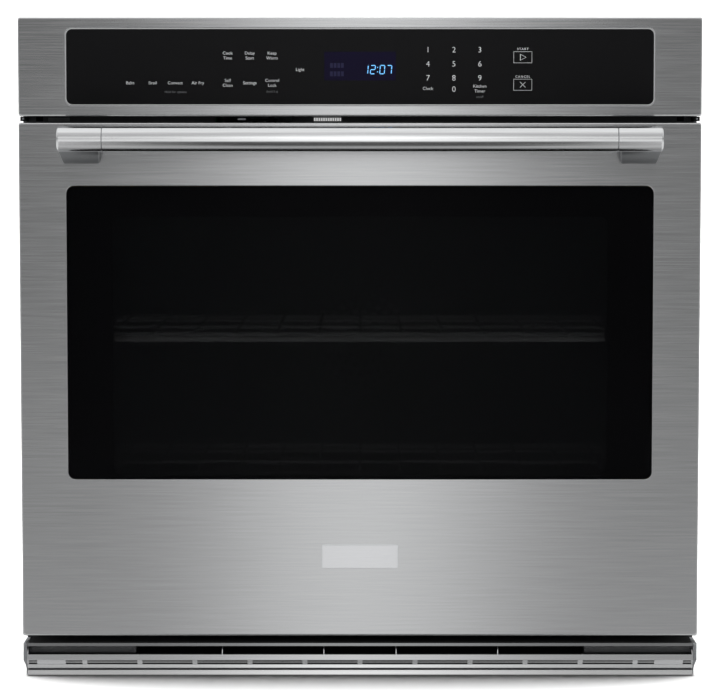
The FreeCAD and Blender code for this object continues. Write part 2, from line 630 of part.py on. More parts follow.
def cooling_fan_wheel():
    z0, z1 = DECK + SHEET + 4, DECK + SHEET + BLOWER_HEIGHT - 5
    disc = rod_z(BLOWER_X, BLOWER_Y, z0, z0 + 1.5, WHEEL_R)
    rim = rod_z(BLOWER_X, BLOWER_Y, z1 - 2, z1, WHEEL_R)
    rim = rim.cut(rod_z(BLOWER_X, BLOWER_Y, z1 - 3, z1 + 1, WHEEL_R - 14))
    hub = rod_z(BLOWER_X, BLOWER_Y, z0, z1 + 2, 12)
    shaft = rod_z(BLOWER_X, BLOWER_Y, z1, z1 + 34, FAN_SHAFT_R)
    parts = [disc, rim, hub, shaft]
    for i in range(WHEEL_BLADES):
        blade = box(WHEEL_R - 13, WHEEL_R - 1, -0.7, 0.7, z0 + 0.5, z1 - 0.5)
        blade.rotate(vec(WHEEL_R - 7, 0, 0), vec(0, 0, 1), 35)
        blade.rotate(vec(0, 0, 0), vec(0, 0, 1), 360.0 * i / WHEEL_BLADES)
        blade.translate(vec(BLOWER_X, BLOWER_Y, 0))
        parts.append(blade)
    return joined(parts)


def cooling_motor():
    z0 = DECK + SHEET + BLOWER_HEIGHT
    body = rod_z(BLOWER_X, BLOWER_Y, z0, z0 + 38, 36)
    parts = [body]
    for i in range(3):
        arm = box(20, BLOWER_R - 12, -6, 6, z0, z0 + 2)
        arm.rotate(vec(0, 0, 0), vec(0, 0, 1), 120 * i + 30)
        arm.translate(vec(BLOWER_X, BLOWER_Y, 0))
        parts.append(arm)
    bore = rod_z(BLOWER_X, BLOWER_Y, z0 - 1, z0 + 33, FAN_SHAFT_R + RUNNING_GAP)
    return joined(parts).cut(bore)


# ---- electrics
def relay_board():
    x0, x1, y0, y1 = -310.0, -110.0, 130.0, 310.0
    z0 = DECK + SHEET
    board = box(x0, x1, y0, y1, z0 + 8, z0 + 9.6)
    parts = [board]
    for x in (x0 + 8, x1 - 8):
        for y in (y0 + 8, y1 - 8):
            parts.append(rod_z(x, y, z0, z0 + 9, 3.5))
    for i in range(6):
        parts.append(box(x0 + 18 + i * 29, x0 + 38 + i * 29, y0 + 20, y0 + 48, z0 + 9, z0 + 31))
    parts.append(box(x0 + 30, x0 + 80, y1 - 80, y1 - 35, z0 + 9, z0 + 46))
    for i in range(5):
        parts.append(box(x1 - 85 + i * 15, x1 - 75 + i * 15, y1 - 40, y1 - 18, z0 + 9, z0 + 22))
    return joined(parts)


def junction_box():
    z0, z1 = CHASSIS_TOP - SHEET - 48, CHASSIS_TOP - SHEET
    x0, x1 = -CONDUIT_X - 38, -CONDUIT_X + 42
    shell = box(x0, x1, CONDUIT_Y - 50, CONDUIT_Y + 50, z0, z1)
    hollow = box(x0 + 1, x1 - 1, CONDUIT_Y - 49, CONDUIT_Y + 49, z0 - 1, z1 - 1)
    hole = rod_z(-CONDUIT_X, CONDUIT_Y, z1 - 3, z1 + 1, CONDUIT_HOLE_R)
    return shell.cut([hollow, hole])


def conduit_connector():
    """Screwed gland for the supply conduit, with its lock nut inside the junction box."""
    x, y = -CONDUIT_X, CONDUIT_Y
    thread = rod_z(x, y, CHASSIS_TOP - 10, CHASSIS_TOP + 2, CONDUIT_HOLE_R - 0.1)
    collar = rod_z(x, y, CHASSIS_TOP, CHASSIS_TOP + 12, 14.5)
    nut = Part.makePolygon([vec(x + 16.5 * math.cos(i * math.pi / 3), y + 16.5 * math.sin(i * math.pi / 3),
                                CHASSIS_TOP - 6) for i in range(7)])
    nut = Part.Face(nut).extrude(vec(0, 0, 4))
    bore = rod_z(x, y, CHASSIS_TOP - 11, CHASSIS_TOP + 13, CONDUIT_BORE_R)
    return joined([thread, collar, nut]).cut(bore)


# ---- control panel
def control_panel_frame():
    """Stainless surround with folded edges and a window for the glass."""
    outer = slab(HALF, PANEL_BOTTOM, PANEL_TOP, FACE, -FRAME_SHEET, 1.5)
    inner = box(-HALF + SKIN, HALF - SKIN, SKIN_BACK, 0, PANEL_BOTTOM + SKIN, PANEL_TOP - SKIN)
    gap = FIT_GAP
    window = slab(CONTROL_HALF + gap, CONTROL_LOW - gap, CONTROL_HIGH + gap, FACE - 5, SKIN_BACK + 1,
                  GLASS_CORNER + gap)
    return outer.cut([inner, window])


def control_glass():
    y0 = FACE - GLASS_PROUD
    plate = slab(CONTROL_HALF, CONTROL_LOW, CONTROL_HIGH, y0, CONTROL_REAR, GLASS_CORNER)
    front = [e for e in plate.Edges if abs(e.BoundBox.YMax - y0) < 0.01]
    return plate.makeChamfer(0.7, front)


def control_tray():
    """Moulded tray that the glass is bonded to and that holds the circuit board."""
    half = CONTROL_HALF + TRAY_RIM - SEAT_GAP
    low = CONTROL_LOW - TRAY_RIM + SEAT_GAP
    high = CONTROL_HIGH + TRAY_RIM - SEAT_GAP
    outer = slab(half, low, high, SKIN_BACK, SKIN_BACK + TRAY_DEPTH, 3)
    seat = slab(CONTROL_HALF + FIT_GAP, CONTROL_LOW - FIT_GAP, CONTROL_HIGH + FIT_GAP, SKIN_BACK - 1,
                CONTROL_REAR, GLASS_CORNER)
    floor = CONTROL_REAR + TRAY_WALL
    hollow = box(-half + TRAY_WALL * 2, half - TRAY_WALL * 2, floor, 0, low + TRAY_WALL * 2,
                 high - TRAY_WALL * 2)
    window = box(-DISPLAY_HALF - SEAT_GAP, DISPLAY_HALF + SEAT_GAP, CONTROL_REAR - 1, floor + 1,
                 DISPLAY_LOW - SEAT_GAP, DISPLAY_LOW + DISPLAY_HEIGHT + SEAT_GAP)
    return outer.cut([seat, hollow, window])


def display_module():
    return box(-DISPLAY_HALF, DISPLAY_HALF, CONTROL_REAR, CONTROL_REAR + 10, DISPLAY_LOW,
               DISPLAY_LOW + DISPLAY_HEIGHT)


def user_interface_board():
    y0 = CONTROL_REAR + 10
    half = CONTROL_HALF - 2
    low, high = CONTROL_LOW + 2, CONTROL_HIGH - 2
    board = box(-half, half, y0, y0 + 1.6, low, high)
    parts = [board]
    for i in range(-3, 4):
        x = i * 84
        parts.append(box(x - 9, x + 9, y0 + 1, y0 + 4.5, low + 22, low + 40))
    parts.append(box(half - 60, half - 20, y0 + 1, y0 + 8, high - 24, high - 12))
    return joined(parts)


# ---- door switch and door latch
def door_switch_body():
    z = DECK + 11
    body = box(SWITCH_X - 14, SWITCH_X + 14, 0, 30, DECK + SHEET, z + 9)
    bore = rod_y(SWITCH_X, -1, 28, z, PLUNGER_R + RUNNING_GAP)
    return body.cut(bore)


def door_switch_plunger():
    z = DECK + 11
    pin = rod_y(SWITCH_X, DOOR_REAR + FIT_GAP + 0.1, 24, z, PLUNGER_R)
    return pin.makeFillet(1.5, [e for e in pin.Edges if e.BoundBox.YMax < -5])


def latch_plate():
    """Bridge over the deck with the latch hook's pivot."""
    z1 = DOOR_TOP - 2
    x0, x1 = LATCH_X - 82, LATCH_X + 42
    bridge = box(x0, x1, 1.5, LATCH_Y + 48, z1 - 1.5, z1)
    legs = [box(x0, x0 + 1.5, 1.5, LATCH_Y + 48, DECK + SHEET, z1 - 1),
            box(x1 - 1.5, x1, 1.5, LATCH_Y + 48, DECK + SHEET, z1 - 1)]
    boss = rod_z(LATCH_X, LATCH_Y, z1 - 1, DOOR_TOP + 2, 6)
    pivot = rod_z(LATCH_X, LATCH_Y, z1, DOOR_TOP + 6.4, 3)
    return joined([bridge, boss, pivot] + legs)


def latch_hook():
    z0 = DOOR_TOP + 2 + FIT_GAP
    z1 = z0 + 2.4
    arm = box(LATCH_X - LATCH_REACH + 7, LATCH_X, LATCH_Y - 5, LATCH_Y + 5, z0, z1)
    tip = rod_z(LATCH_X - LATCH_REACH + 7, LATCH_Y, z0, z1, 7)
    eye = rod_z(LATCH_X, LATCH_Y, z0, z1, 8)
    bore = rod_z(LATCH_X, LATCH_Y, z0 - 1, z1 + 1, 3 + RUNNING_GAP)
    return joined([arm, tip, eye]).cut(bore)


def latch_motor():
    z0 = DOOR_TOP - 2
    body = rod_z(LATCH_X - 40, LATCH_Y + 31, z0, z0 + 24, 16)
    gear = rod_z(LATCH_X - 40, LATCH_Y + 31, z0 + 24, z0 + 30, 5)
    return joined([body, gear])


# ---- bottom vent trim
def bottom_trim_face():
    """Folded vent trim: top shelf and lip, front bar, slotted slope and bottom tray."""
    half = TRIM_HALF
    lip_face = FACE + 2
    bar_face = FACE
    low_face = FACE + TRIM_SETBACK
    t = SKIN
    shelf = prism_x([(lip_face, TRIM_TOP - TRIM_LIP), (lip_face + t, TRIM_TOP - TRIM_LIP),
                     (lip_face + t, TRIM_TOP - t), (-FRAME_SHEET, TRIM_TOP - t),
                     (-FRAME_SHEET, TRIM_TOP), (lip_face, TRIM_TOP)], -half, half)
    bar_back = bar_face + 2.0
    low_back = low_face + 2.0
    groove = low_face + TRIM_GROOVE
    front = prism_x([(bar_face, BAR_TOP), (bar_back, BAR_TOP), (bar_back, BAR_BOTTOM),
                     (low_back, LOWER_LIP_TOP), (low_face, LOWER_LIP_TOP), (bar_face, BAR_BOTTOM)], -half, half)
    rear = -FRAME_SHEET
    flange_top = TRIM_BOTTOM + TRAY_FLANGE
    tray = prism_x([(low_face, LOWER_LIP_TOP), (low_back, LOWER_LIP_TOP), (low_back, LOWER_LIP_BOTTOM + t),
                    (groove + t, LOWER_LIP_BOTTOM + t), (groove + t, TRIM_BOTTOM + t), (rear - t, TRIM_BOTTOM + t),
                    (rear - t, flange_top), (rear, flange_top), (rear, TRIM_BOTTOM), (low_face, TRIM_BOTTOM),
                    (low_face, BOTTOM_BAR_TOP), (groove, BOTTOM_BAR_TOP), (groove, LOWER_LIP_BOTTOM),
                    (low_face, LOWER_LIP_BOTTOM)], -half, half)
    ribs = []
    for x in RIB_PLACES:
        ribs += pair(box(x - 0.6, x + 0.6, bar_face + 0.5, bar_face + 24, BAR_TOP - 1, TRIM_TOP - 0.4))
    ribs += pair(box(half - t, half, bar_face + 1, -FRAME_SHEET, TRIM_BOTTOM + 0.5, TRIM_TOP - 0.4))
    body = joined([shelf, front, tray] + ribs)
    tabs = [i * TAB_PITCH for i in range(-TAB_COUNT, TAB_COUNT + 1)]
    starts = [-SLOT_END] + [x + TAB_HALF for x in tabs]
    ends = [x - TAB_HALF for x in tabs] + [SLOT_END]
    slots = []
    for left, right in list(zip(starts, ends)) + [END_SLOT, (-END_SLOT[1], -END_SLOT[0])]:
        for low, high in (UPPER_SLOT, LOWER_SLOT):
            slots.append(box(left, right, bar_face - 1, low_back + 1, low, high))
    return body.cut(slots)


def bottom_trim_baffles():
    """Blanking plates behind the ends of the vent."""
    y0 = FACE + 14
    end = TRIM_HALF - SKIN - SEAT_GAP
    return box(BAFFLE_START, end, y0, y0 + SKIN, BAR_BOTTOM + 6, TRIM_TOP - SKIN - SEAT_GAP)


def bottom_trim_end_cap():
    """Moulded end of the trim with its lower outer corner drawn in."""
    x0 = TRIM_HALF + SEAT_GAP
    x1 = TRIM_HALF + TRIM_CAP
    cap = box(x0, x1, FACE, -FRAME_SHEET, TRIM_BOTTOM, TRIM_TOP)
    lean = prism_y([(x1 + 1, BAR_BOTTOM), (x1, BAR_BOTTOM), (x0 + 0.8, LOWER_LIP_BOTTOM),
                    (x0 + 0.8, TRIM_BOTTOM - 1), (x1 + 1, TRIM_BOTTOM - 1)], FACE - 1, 0)
    set_back = prism_x([(FACE - 1, BAR_BOTTOM), (FACE, BAR_BOTTOM), (FACE + TRIM_SETBACK, LOWER_LIP_TOP),
                        (FACE + TRIM_SETBACK, TRIM_BOTTOM - 1), (FACE - 1, TRIM_BOTTOM - 1)], x0 - 1, x1 + 1)
    return cap.cut([lean, set_back])


# ---- hinges
def hinge_receiver():
    """Channel behind the front frame that takes the hinge arm."""
    x = HINGE_CENTRE
    z0, z1 = HINGE_Z - HINGE_ARM_HALF, HINGE_Z + HINGE_ARM_HALF
    shell = box(x - 11, x + 11, 0, 95, z0 - 2, z1 + 2)
    flange = box(x - 18, x + 15, 0, 2, z0 - 9, z1 + 9)
    hollow = box(x - 9, x + 9, -1, 96, z0, z1)
    return joined([shell, flange]).cut(hollow)


def hinge_arm():
    """Arm that stands still in the chassis and carries the hinge pin's bearing."""
    x0, x1 = HINGE_CENTRE - HINGE_ARM_T / 2, HINGE_CENTRE + HINGE_ARM_T / 2
    eye = rod_x(x0, x1, HINGE_Y, HINGE_Z, HINGE_ARM_HALF)
    bar = box(x0, x1, HINGE_Y, 70, HINGE_Z - HINGE_ARM_HALF, HINGE_Z + HINGE_ARM_HALF)
    bore = rod_x(x0 - 1, x1 + 1, HINGE_Y, HINGE_Z, HINGE_PIN_R + RUNNING_GAP)
    return joined([eye, bar]).cut(bore)


def hinge_channel():
    """Door half of the hinge: a channel with two ears for the pin."""
    half = HINGE_CHANNEL_W / 2
    x0, x1 = HINGE_CENTRE - half, HINGE_CENTRE + half
    low = HINGE_Z - 13
    high = low + HINGE_CHANNEL_HEIGHT
    rear = HINGE_Y + 16
    body = box(x0, x1, SKIN_BACK, rear, low, high)
    hollow = box(x0 + HINGE_EAR_T, x1 - HINGE_EAR_T, SKIN_BACK + 2.0, rear + 1, low - 1, high - HINGE_EAR_T)
    bore = rod_x(x0 - 1, x1 + 1, HINGE_Y, HINGE_Z, HINGE_PIN_R)
    return body.cut([hollow, bore])


def hinge_spring():
    """Counterbalance spring in the door's channel, between a capped rod at each end."""
    x, y = HINGE_CENTRE, HINGE_Y
    low = HINGE_Z + HINGE_ARM_HALF + 4
    high = HINGE_Z - 13 + HINGE_CHANNEL_HEIGHT - HINGE_EAR_T - 1
    coil_low, coil_high = low + 16, high - 16
    length = coil_high - coil_low
    helix = Part.makeHelix(length / SPRING_TURNS, length, SPRING_R)
    helix.translate(vec(x, y, coil_low))
    start = vec(x + SPRING_R, y, coil_low)
    section = Part.Wire(Part.makeCircle(SPRING_WIRE_R, start, vec(0, 1, 0)))
    coil = Part.Wire(helix.Edges).makePipeShell([section], True, True)
    reach = SPRING_R + SPRING_WIRE_R
    lower_cap = coil_low - SPRING_WIRE_R - SEAT_GAP
    upper_cap = coil_high + SPRING_WIRE_R + SEAT_GAP
    lower = joined([rod_z(x, y, low, lower_cap, 2.0), rod_z(x, y, lower_cap - 2, lower_cap, reach)])
    upper = joined([rod_z(x, y, upper_cap, high, 2.0), rod_z(x, y, upper_cap, upper_cap + 2, reach)])
    return [coil, lower, upper]


def hinge_pin():
    half = HINGE_CHANNEL_W / 2 + 1
    return rod_x(HINGE_CENTRE - half, HINGE_CENTRE + half, HINGE_Y, HINGE_Z, HINGE_PIN_R)


# ---- door
def door_outer_skin():
    """Stainless door front with folded edges; its lower back corner is cut away for the swing."""
    shell = slab(HALF, DOOR_BOTTOM, DOOR_TOP, FACE, LINER_FRONT, 1.5)
    hollow = box(-HALF + SKIN, HALF - SKIN, SKIN_BACK, 0, DOOR_BOTTOM + SKIN, DOOR_TOP - SKIN)
    gap = FIT_GAP
    window = slab(WINDOW_HALF + gap, WINDOW_LOW - gap, WINDOW_HIGH + gap, FACE - 5, SKIN_BACK + 1,
                  WINDOW_CORNER + gap)
    swing = prism_x([(HINGE_Y + 4, DOOR_BOTTOM - 1), (0, DOOR_BOTTOM - 1), (0, HINGE_Z),
                     (LINER_FRONT - 0.1, HINGE_Z), (HINGE_Y + 4, DOOR_BOTTOM + 1.4)], -HALF - 1, HALF + 1)
    notch = box(HINGE_CENTRE - 11, HINGE_CENTRE + 11, SKIN_BACK + 1.8, 0, DOOR_BOTTOM - 1, DOOR_BOTTOM + 5)
    screw = rod_y(LEG_MIDDLE, FACE - 5, SKIN_BACK + 5, HANDLE_Z - 6, HANDLE_SCREW_R + RUNNING_GAP)
    return shell.cut([hollow, window, swing] + pair(notch) + pair(screw))


def door_outer_glass():
    plate = slab(WINDOW_HALF, WINDOW_LOW, WINDOW_HIGH, FACE, FACE + GLASS, WINDOW_CORNER)
    front = [e for e in plate.Edges if abs(e.BoundBox.YMax - FACE) < 0.01]
    return plate.makeChamfer(0.6, front)


def window_pack_frame():
    """Folded frame that spaces the panes of the window."""
    outer = box(-PACK_HALF, PACK_HALF, PACK_FRONT, PACK_REAR, PACK_LOW, PACK_HIGH)
    t = PACK_SHEET
    inner = box(-PACK_HALF + t, PACK_HALF - t, PACK_FRONT - 1, PACK_REAR + 1, PACK_LOW + t, PACK_HIGH - t)
    return outer.cut(inner)


def pane(y0):
    t = PACK_SHEET + SEAT_GAP
    return box(-PACK_HALF + t, PACK_HALF - t, y0, y0 + GLASS, PACK_LOW + t, PACK_HIGH - t)


def door_inner_liner():
    """Enamelled back of the door: flat sheet, raised plug round the window, sloping foot."""
    sheet = slab(HALF - 0.2, HINGE_Z, DOOR_TOP, LINER_FRONT, DOOR_REAR, 1.5)
    low, high = FLOOR + 10, CEILING - 10
    plug = slab(PLUG_HALF, low, high, DOOR_REAR - 0.6, PLUG_FACE, 16)
    inside = slab(PLUG_HALF - SKIN, low + SKIN, high - SKIN, LINER_FRONT - 1, PLUG_FACE - SKIN, 15)
    window = slab(VIEW_HALF, VIEW_LOW, VIEW_HIGH, 0, PLUG_FACE + 2, 10)
    foot = prism_x([(LINER_FRONT, HINGE_Z + 0.5), (DOOR_REAR, HINGE_Z + 0.5), (DOOR_REAR, HINGE_Z),
                    (HINGE_Y + 5.6, DOOR_BOTTOM + 3.2), (HINGE_Y + 4.4, DOOR_BOTTOM + 4)],
                   -HALF + SKIN + SEAT_GAP, HALF - SKIN - SEAT_GAP)
    notch = box(HINGE_CENTRE - 12, HINGE_CENTRE + 12, SKIN_BACK, 0, DOOR_BOTTOM, HINGE_Z + 17)
    return joined([sheet, plug, foot]).cut([inside, window] + pair(notch))


def door_insulation():
    """Mineral wool between the skins, round the window pack."""
    half = HINGE_CENTRE - HINGE_CHANNEL_W / 2 - 7
    y0, y1 = FACE + GLASS + 1, LINER_FRONT - 0.8
    outer = box(-half, half, y0, y1, HINGE_Z + 21, HANDLE_Z - 28)
    gap = 1.0
    inner = box(-PACK_HALF - gap, PACK_HALF + gap, y0 - 1, y1 + 1, PACK_LOW - gap, PACK_HIGH + gap)
    return outer.cut(inner)


def nameplate():
    """Plain plate below the window, with nothing on it."""
    plate = box(-42.7, 42.7, FACE - 1.2, FACE, DOOR_BOTTOM + 76.5, DOOR_BOTTOM + 103)
    edges = [e for e in plate.Edges if abs(e.tangentAt(e.FirstParameter).y) > 0.9]
    plate = plate.makeFillet(2.5, edges)
    front = [e for e in plate.Edges if e.BoundBox.YMax < FACE - 1.1]
    return plate.makeChamfer(0.5, front)


# ---- handle
def handle_bar():
    bar = rod_x(-HANDLE_SEAM + 0.3, HANDLE_SEAM - 0.3, HANDLE_Y, HANDLE_Z, HANDLE_R)
    return bar.makeChamfer(0.5, [e for e in bar.Edges if e.BoundBox.XLength < 0.01])


def handle_bracket():
    """End piece of the handle with its leg down to the door."""
    cap = rod_x(HANDLE_SEAM, HANDLE_END, HANDLE_Y, HANDLE_Z, HANDLE_R)
    ends = [e for e in cap.Edges if e.BoundBox.XLength < 0.01]
    cap = cap.makeChamfer(0.5, [e for e in ends if e.BoundBox.XMax < HANDLE_SEAM + 1])
    cap = cap.makeFillet(1.6, [e for e in cap.Edges
                               if e.BoundBox.XMin > HANDLE_END - 0.01 and e.BoundBox.XLength < 0.01])
    top = HANDLE_Z + HANDLE_R - 1.5
    leg = prism_x([(FACE, top - HANDLE_FOOT + 1.5), (FACE, top), (HANDLE_Y, top), (HANDLE_Y - 3, HANDLE_Z),
                   (HANDLE_Y + 2, HANDLE_Z - HANDLE_R + 0.3)],
                  HANDLE_SEAM + HANDLE_LEG_IN, HANDLE_END - HANDLE_LEG_OUT)
    hole = rod_y(LEG_MIDDLE, FACE - 18, FACE + 1, HANDLE_Z - 6, HANDLE_SCREW_R)
    return joined([cap, leg]).cut(hole)


def handle_screw():
    shank = rod_y(LEG_MIDDLE, FACE - 16, SKIN_BACK + 1, HANDLE_Z - 6, HANDLE_SCREW_R)
    head = rod_y(LEG_MIDDLE, SKIN_BACK, SKIN_BACK + 3, HANDLE_Z - 6, 5)
    return joined([shank, head])


# ---- racks
def rack(guide):
    """Wire rack: a bent outer rail, long wires welded on top of it and cross wires under them."""
    z = GUIDE_TOPS[guide] + FIT_GAP + RACK_RAIL_R
    half = CAVITY_HALF - RACK_SIDE_GAP - RACK_RAIL_R
    y0, y1 = RACK_FRONT + RACK_RAIL_R, RACK_FRONT + RACK_DEPTH - RACK_RAIL_R
    corners = [vec(0, y0, z), vec(half, y0, z), vec(half, y1, z), vec(-half, y1, z), vec(-half, y0, z),
               vec(0, y0, z)]
    parts = [tube(corners, RACK_RAIL_R, RACK_CORNER)]
    wire_z = z + RACK_RAIL_R + RACK_WIRE_R - RACK_WELD
    count = int((half - 12) / RACK_PITCH)
    for i in range(-count, count + 1):
        x = i * RACK_PITCH
        parts.append(rod_y(x, y0 - 2.2, y1 + 2.2, wire_z, RACK_WIRE_R))
    span = RACK_DEPTH - 2 * RACK_SUPPORT_FIRST
    for i in range(RACK_SUPPORT_COUNT):
        y = RACK_FRONT + RACK_SUPPORT_FIRST + span * i / (RACK_SUPPORT_COUNT - 1)
        parts.append(rod_x(-half, half, y, wire_z - RACK_WIRE_R - 2.4 + RACK_WELD, 2.4))
    return joined(parts)


os.makedirs("parts", exist_ok=True)

save("base_pan", base_pan())
save("right_side_panel", side_panel())
save("left_side_panel", mirrored(side_panel()))
save("back_panel", back_panel())
save("top_panel", top_panel())
save("front_frame", front_frame())
save("chassis_screws", *chassis_screws())
save("component_deck", component_deck())
save("base_air_plenum", base_air_plenum())
save("rear_air_duct", rear_air_duct())
save("oven_cavity", oven_cavity())
save("insulation_wrap", insulation_wrap())
save("door_gasket", door_gasket())
save("broil_element", broil_element())
save("bake_element", bake_element())
save("convection_element", convection_element())
save("fan_cover", fan_cover())
save("convection_fan_blade", convection_fan_blade())
save("convection_motor", convection_motor())
save("temperature_probe", temperature_probe())
save("lamp_housing", lamp_housing())
save("lamp_bulb", lamp_bulb())
save("lamp_lens", lamp_lens())
save("cooling_blower_housing", cooling_blower_housing())
save("cooling_fan_wheel", cooling_fan_wheel())
save("cooling_motor", cooling_motor())
save("relay_board", relay_board())
save("junction_box", junction_box())
save("conduit_connector", conduit_connector())
save("control_panel_frame", control_panel_frame())
save("control_glass", control_glass())
save("control_tray", control_tray())
save("display_module", display_module())
save("user_interface_board", user_interface_board())
save("door_switch_body", door_switch_body())
save("door_switch_plunger", door_switch_plunger())
save("latch_plate", latch_plate())
save("latch_hook", latch_hook())
save("latch_motor", latch_motor())
save("bottom_trim_face", bottom_trim_face())
save("bottom_trim_baffles", *pair(bottom_trim_baffles()))
save("bottom_trim_end_caps", *pair(bottom_trim_end_cap()))
save("hinge_receivers", *pair(hinge_receiver()))
save("hinge_arms", *pair(hinge_arm()))
save("hinge_channels", *pair(hinge_channel()))
save("hinge_pins", *pair(hinge_pin()))
save("hinge_springs", *[side for piece in hinge_spring() for side in pair(piece)])
save("door_outer_skin", door_outer_skin())
save("door_outer_glass", door_outer_glass())
save("window_pack_frame", window_pack_frame())
save("door_middle_glass", pane(PACK_FRONT + 17))
save("door_inner_glass", pane(PACK_REAR - GLASS))
save("door_inner_liner", door_inner_liner())
save("door_insulation", door_insulation())
save("nameplate", nameplate())
save("handle_bar", handle_bar())
save("handle_brackets", *pair(handle_bracket()))
save("handle_screws", *pair(handle_screw()))
save("rack_upper", rack(UPPER_RACK_GUIDE))
save("rack_lower", rack(LOWER_RACK_GUIDE))
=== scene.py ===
import json
import math

import bmesh
import bpy
import numpy as np
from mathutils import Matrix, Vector


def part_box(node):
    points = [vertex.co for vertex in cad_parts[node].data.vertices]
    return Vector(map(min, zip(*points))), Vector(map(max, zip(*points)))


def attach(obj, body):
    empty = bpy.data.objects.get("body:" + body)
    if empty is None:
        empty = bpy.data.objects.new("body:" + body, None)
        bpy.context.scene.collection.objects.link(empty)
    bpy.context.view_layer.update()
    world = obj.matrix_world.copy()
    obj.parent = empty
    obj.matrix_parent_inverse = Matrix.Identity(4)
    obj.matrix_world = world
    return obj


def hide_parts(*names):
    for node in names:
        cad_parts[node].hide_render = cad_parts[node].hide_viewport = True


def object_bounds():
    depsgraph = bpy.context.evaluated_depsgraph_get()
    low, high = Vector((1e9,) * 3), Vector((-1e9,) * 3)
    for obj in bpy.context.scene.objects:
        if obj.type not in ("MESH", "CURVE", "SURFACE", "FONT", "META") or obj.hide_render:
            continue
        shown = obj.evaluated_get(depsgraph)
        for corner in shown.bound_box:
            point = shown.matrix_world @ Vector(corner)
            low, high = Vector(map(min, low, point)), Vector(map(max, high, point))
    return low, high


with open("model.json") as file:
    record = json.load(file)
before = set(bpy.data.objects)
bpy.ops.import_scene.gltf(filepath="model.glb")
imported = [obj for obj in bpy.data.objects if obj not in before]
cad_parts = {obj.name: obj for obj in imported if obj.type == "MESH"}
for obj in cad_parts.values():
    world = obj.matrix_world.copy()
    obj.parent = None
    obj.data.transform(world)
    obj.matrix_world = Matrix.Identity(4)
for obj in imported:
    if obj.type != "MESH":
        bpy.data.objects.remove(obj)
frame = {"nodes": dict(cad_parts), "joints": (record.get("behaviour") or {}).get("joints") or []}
cad_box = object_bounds()
MM = 0.001


# ---------------------------------------------------------------------------------------------
# Camera and studio. A long lens a little above the oven's middle looks at the oven on white paper,
# which runs back from the floor and bends up into a far wall. A soft box hangs over the oven and
# another over the wall. The surroundings that the steel mirrors are set by direction.
CAMERA_DISTANCE = 3.3
CAMERA_PITCH = math.radians(4.326)
CAMERA_LENS = 148.4
FLOOR_GAP = 0.4 * MM
BACKDROP_Y = 6.0
BACKDROP_BEND = 1.2
BACKDROP_TOP = 5.5
STUDIO_HALF = 8.0


def hex_colour(code):
    """A linear colour from an sRGB hex string: each channel's sRGB curve undone, alpha 1."""
    channels = np.array([int(code[i:i + 2], 16) for i in (1, 3, 5)]) / 255
    linear = np.where(channels <= 0.04045, channels / 12.92, ((channels + 0.055) / 1.055) ** 2.4)
    return (*[float(c) for c in linear], 1.0)


def node(tree, kind, inputs=None, **settings):
    """Adds a shader node, with its settings, and its inputs as values or links from sockets."""
    made = tree.nodes.new(kind)
    for name, value in settings.items():
        setattr(made, name, value)
    for name, value in (inputs or {}).items():
        if isinstance(value, bpy.types.NodeSocket):
            tree.links.new(value, made.inputs[name])
        else:
            made.inputs[name].default_value = value
    return made


def material(name, **values):
    """A material with one Principled shader; keywords set its own sockets, _ for a space."""
    made = bpy.data.materials.new(name)
    made.use_nodes = True
    tree = made.node_tree
    tree.nodes.clear()
    shader = node(tree, "ShaderNodeBsdfPrincipled")
    for key, value in values.items():
        shader.inputs[key.replace("_", " ")].default_value = value
    node(tree, "ShaderNodeOutputMaterial", {"Surface": shader.outputs["BSDF"]})
    return made, tree, shader


def grid_faces(rows, columns, wrap_rows=False, wrap_columns=False):
    """Quads of a rows x columns grid of points, joined round where it wraps."""
    i = np.arange(rows if wrap_rows else rows - 1)[:, None]
    j = np.arange(columns if wrap_columns else columns - 1)[None, :]
    i2, j2 = (i + 1) % rows, (j + 1) % columns
    corners = [i * columns + j, i * columns + j2, i2 * columns + j2, i2 * columns + j]
    return np.stack([c.ravel() for c in np.broadcast_arrays(*corners)], axis=1)


def sheet_mesh(name, points, wrap_rows=False, wrap_columns=False):
    """An object from a (rows, columns, 3) array of points."""
    rows, columns = points.shape[:2]
    mesh = bpy.data.meshes.new(name)
    faces = grid_faces(rows, columns, wrap_rows, wrap_columns)
    mesh.from_pydata(points.reshape(-1, 3).tolist(), [], faces.tolist())
    mesh.shade_smooth()
    made = bpy.data.objects.new(name, mesh)
    bpy.context.scene.collection.objects.link(made)
    return made


def studio():
    """Floor, bend and wall as one sheet: straight, a quarter turn, straight, carried along X."""
    floor_z = cad_box[0].z - FLOOR_GAP
    turn = np.linspace(0, math.pi / 2, 24)
    wall_y = BACKDROP_Y + BACKDROP_BEND
    y = np.concatenate([[-STUDIO_HALF], BACKDROP_Y + BACKDROP_BEND * np.sin(turn), [wall_y]])
    z = np.concatenate([[0], BACKDROP_BEND * (1 - np.cos(turn)), [BACKDROP_TOP]]) + floor_z
    x = np.array([-STUDIO_HALF, STUDIO_HALF])
    points = np.stack([np.broadcast_to(x[:, None], (2, len(y))), np.broadcast_to(y, (2, len(y))),
                       np.broadcast_to(z, (2, len(z)))], axis=-1)
    made = sheet_mesh("studio_floor", points)
    paper, tree, shader = material("matt_white_paper", Roughness=0.9)
    noise = node(tree, "ShaderNodeTexNoise", {"Scale": 0.8, "Detail": 1.0})
    tint = node(tree, "ShaderNodeMix", {"Factor": noise.outputs["Fac"]}, data_type="RGBA")
    tint.inputs[6].default_value = hex_colour("#f4f4f4")
    tint.inputs[7].default_value = hex_colour("#f8f8f8")
    tree.links.new(tint.outputs[2], shader.inputs["Base Color"])
    made.data.materials.append(paper)
    made.visible_glossy = False


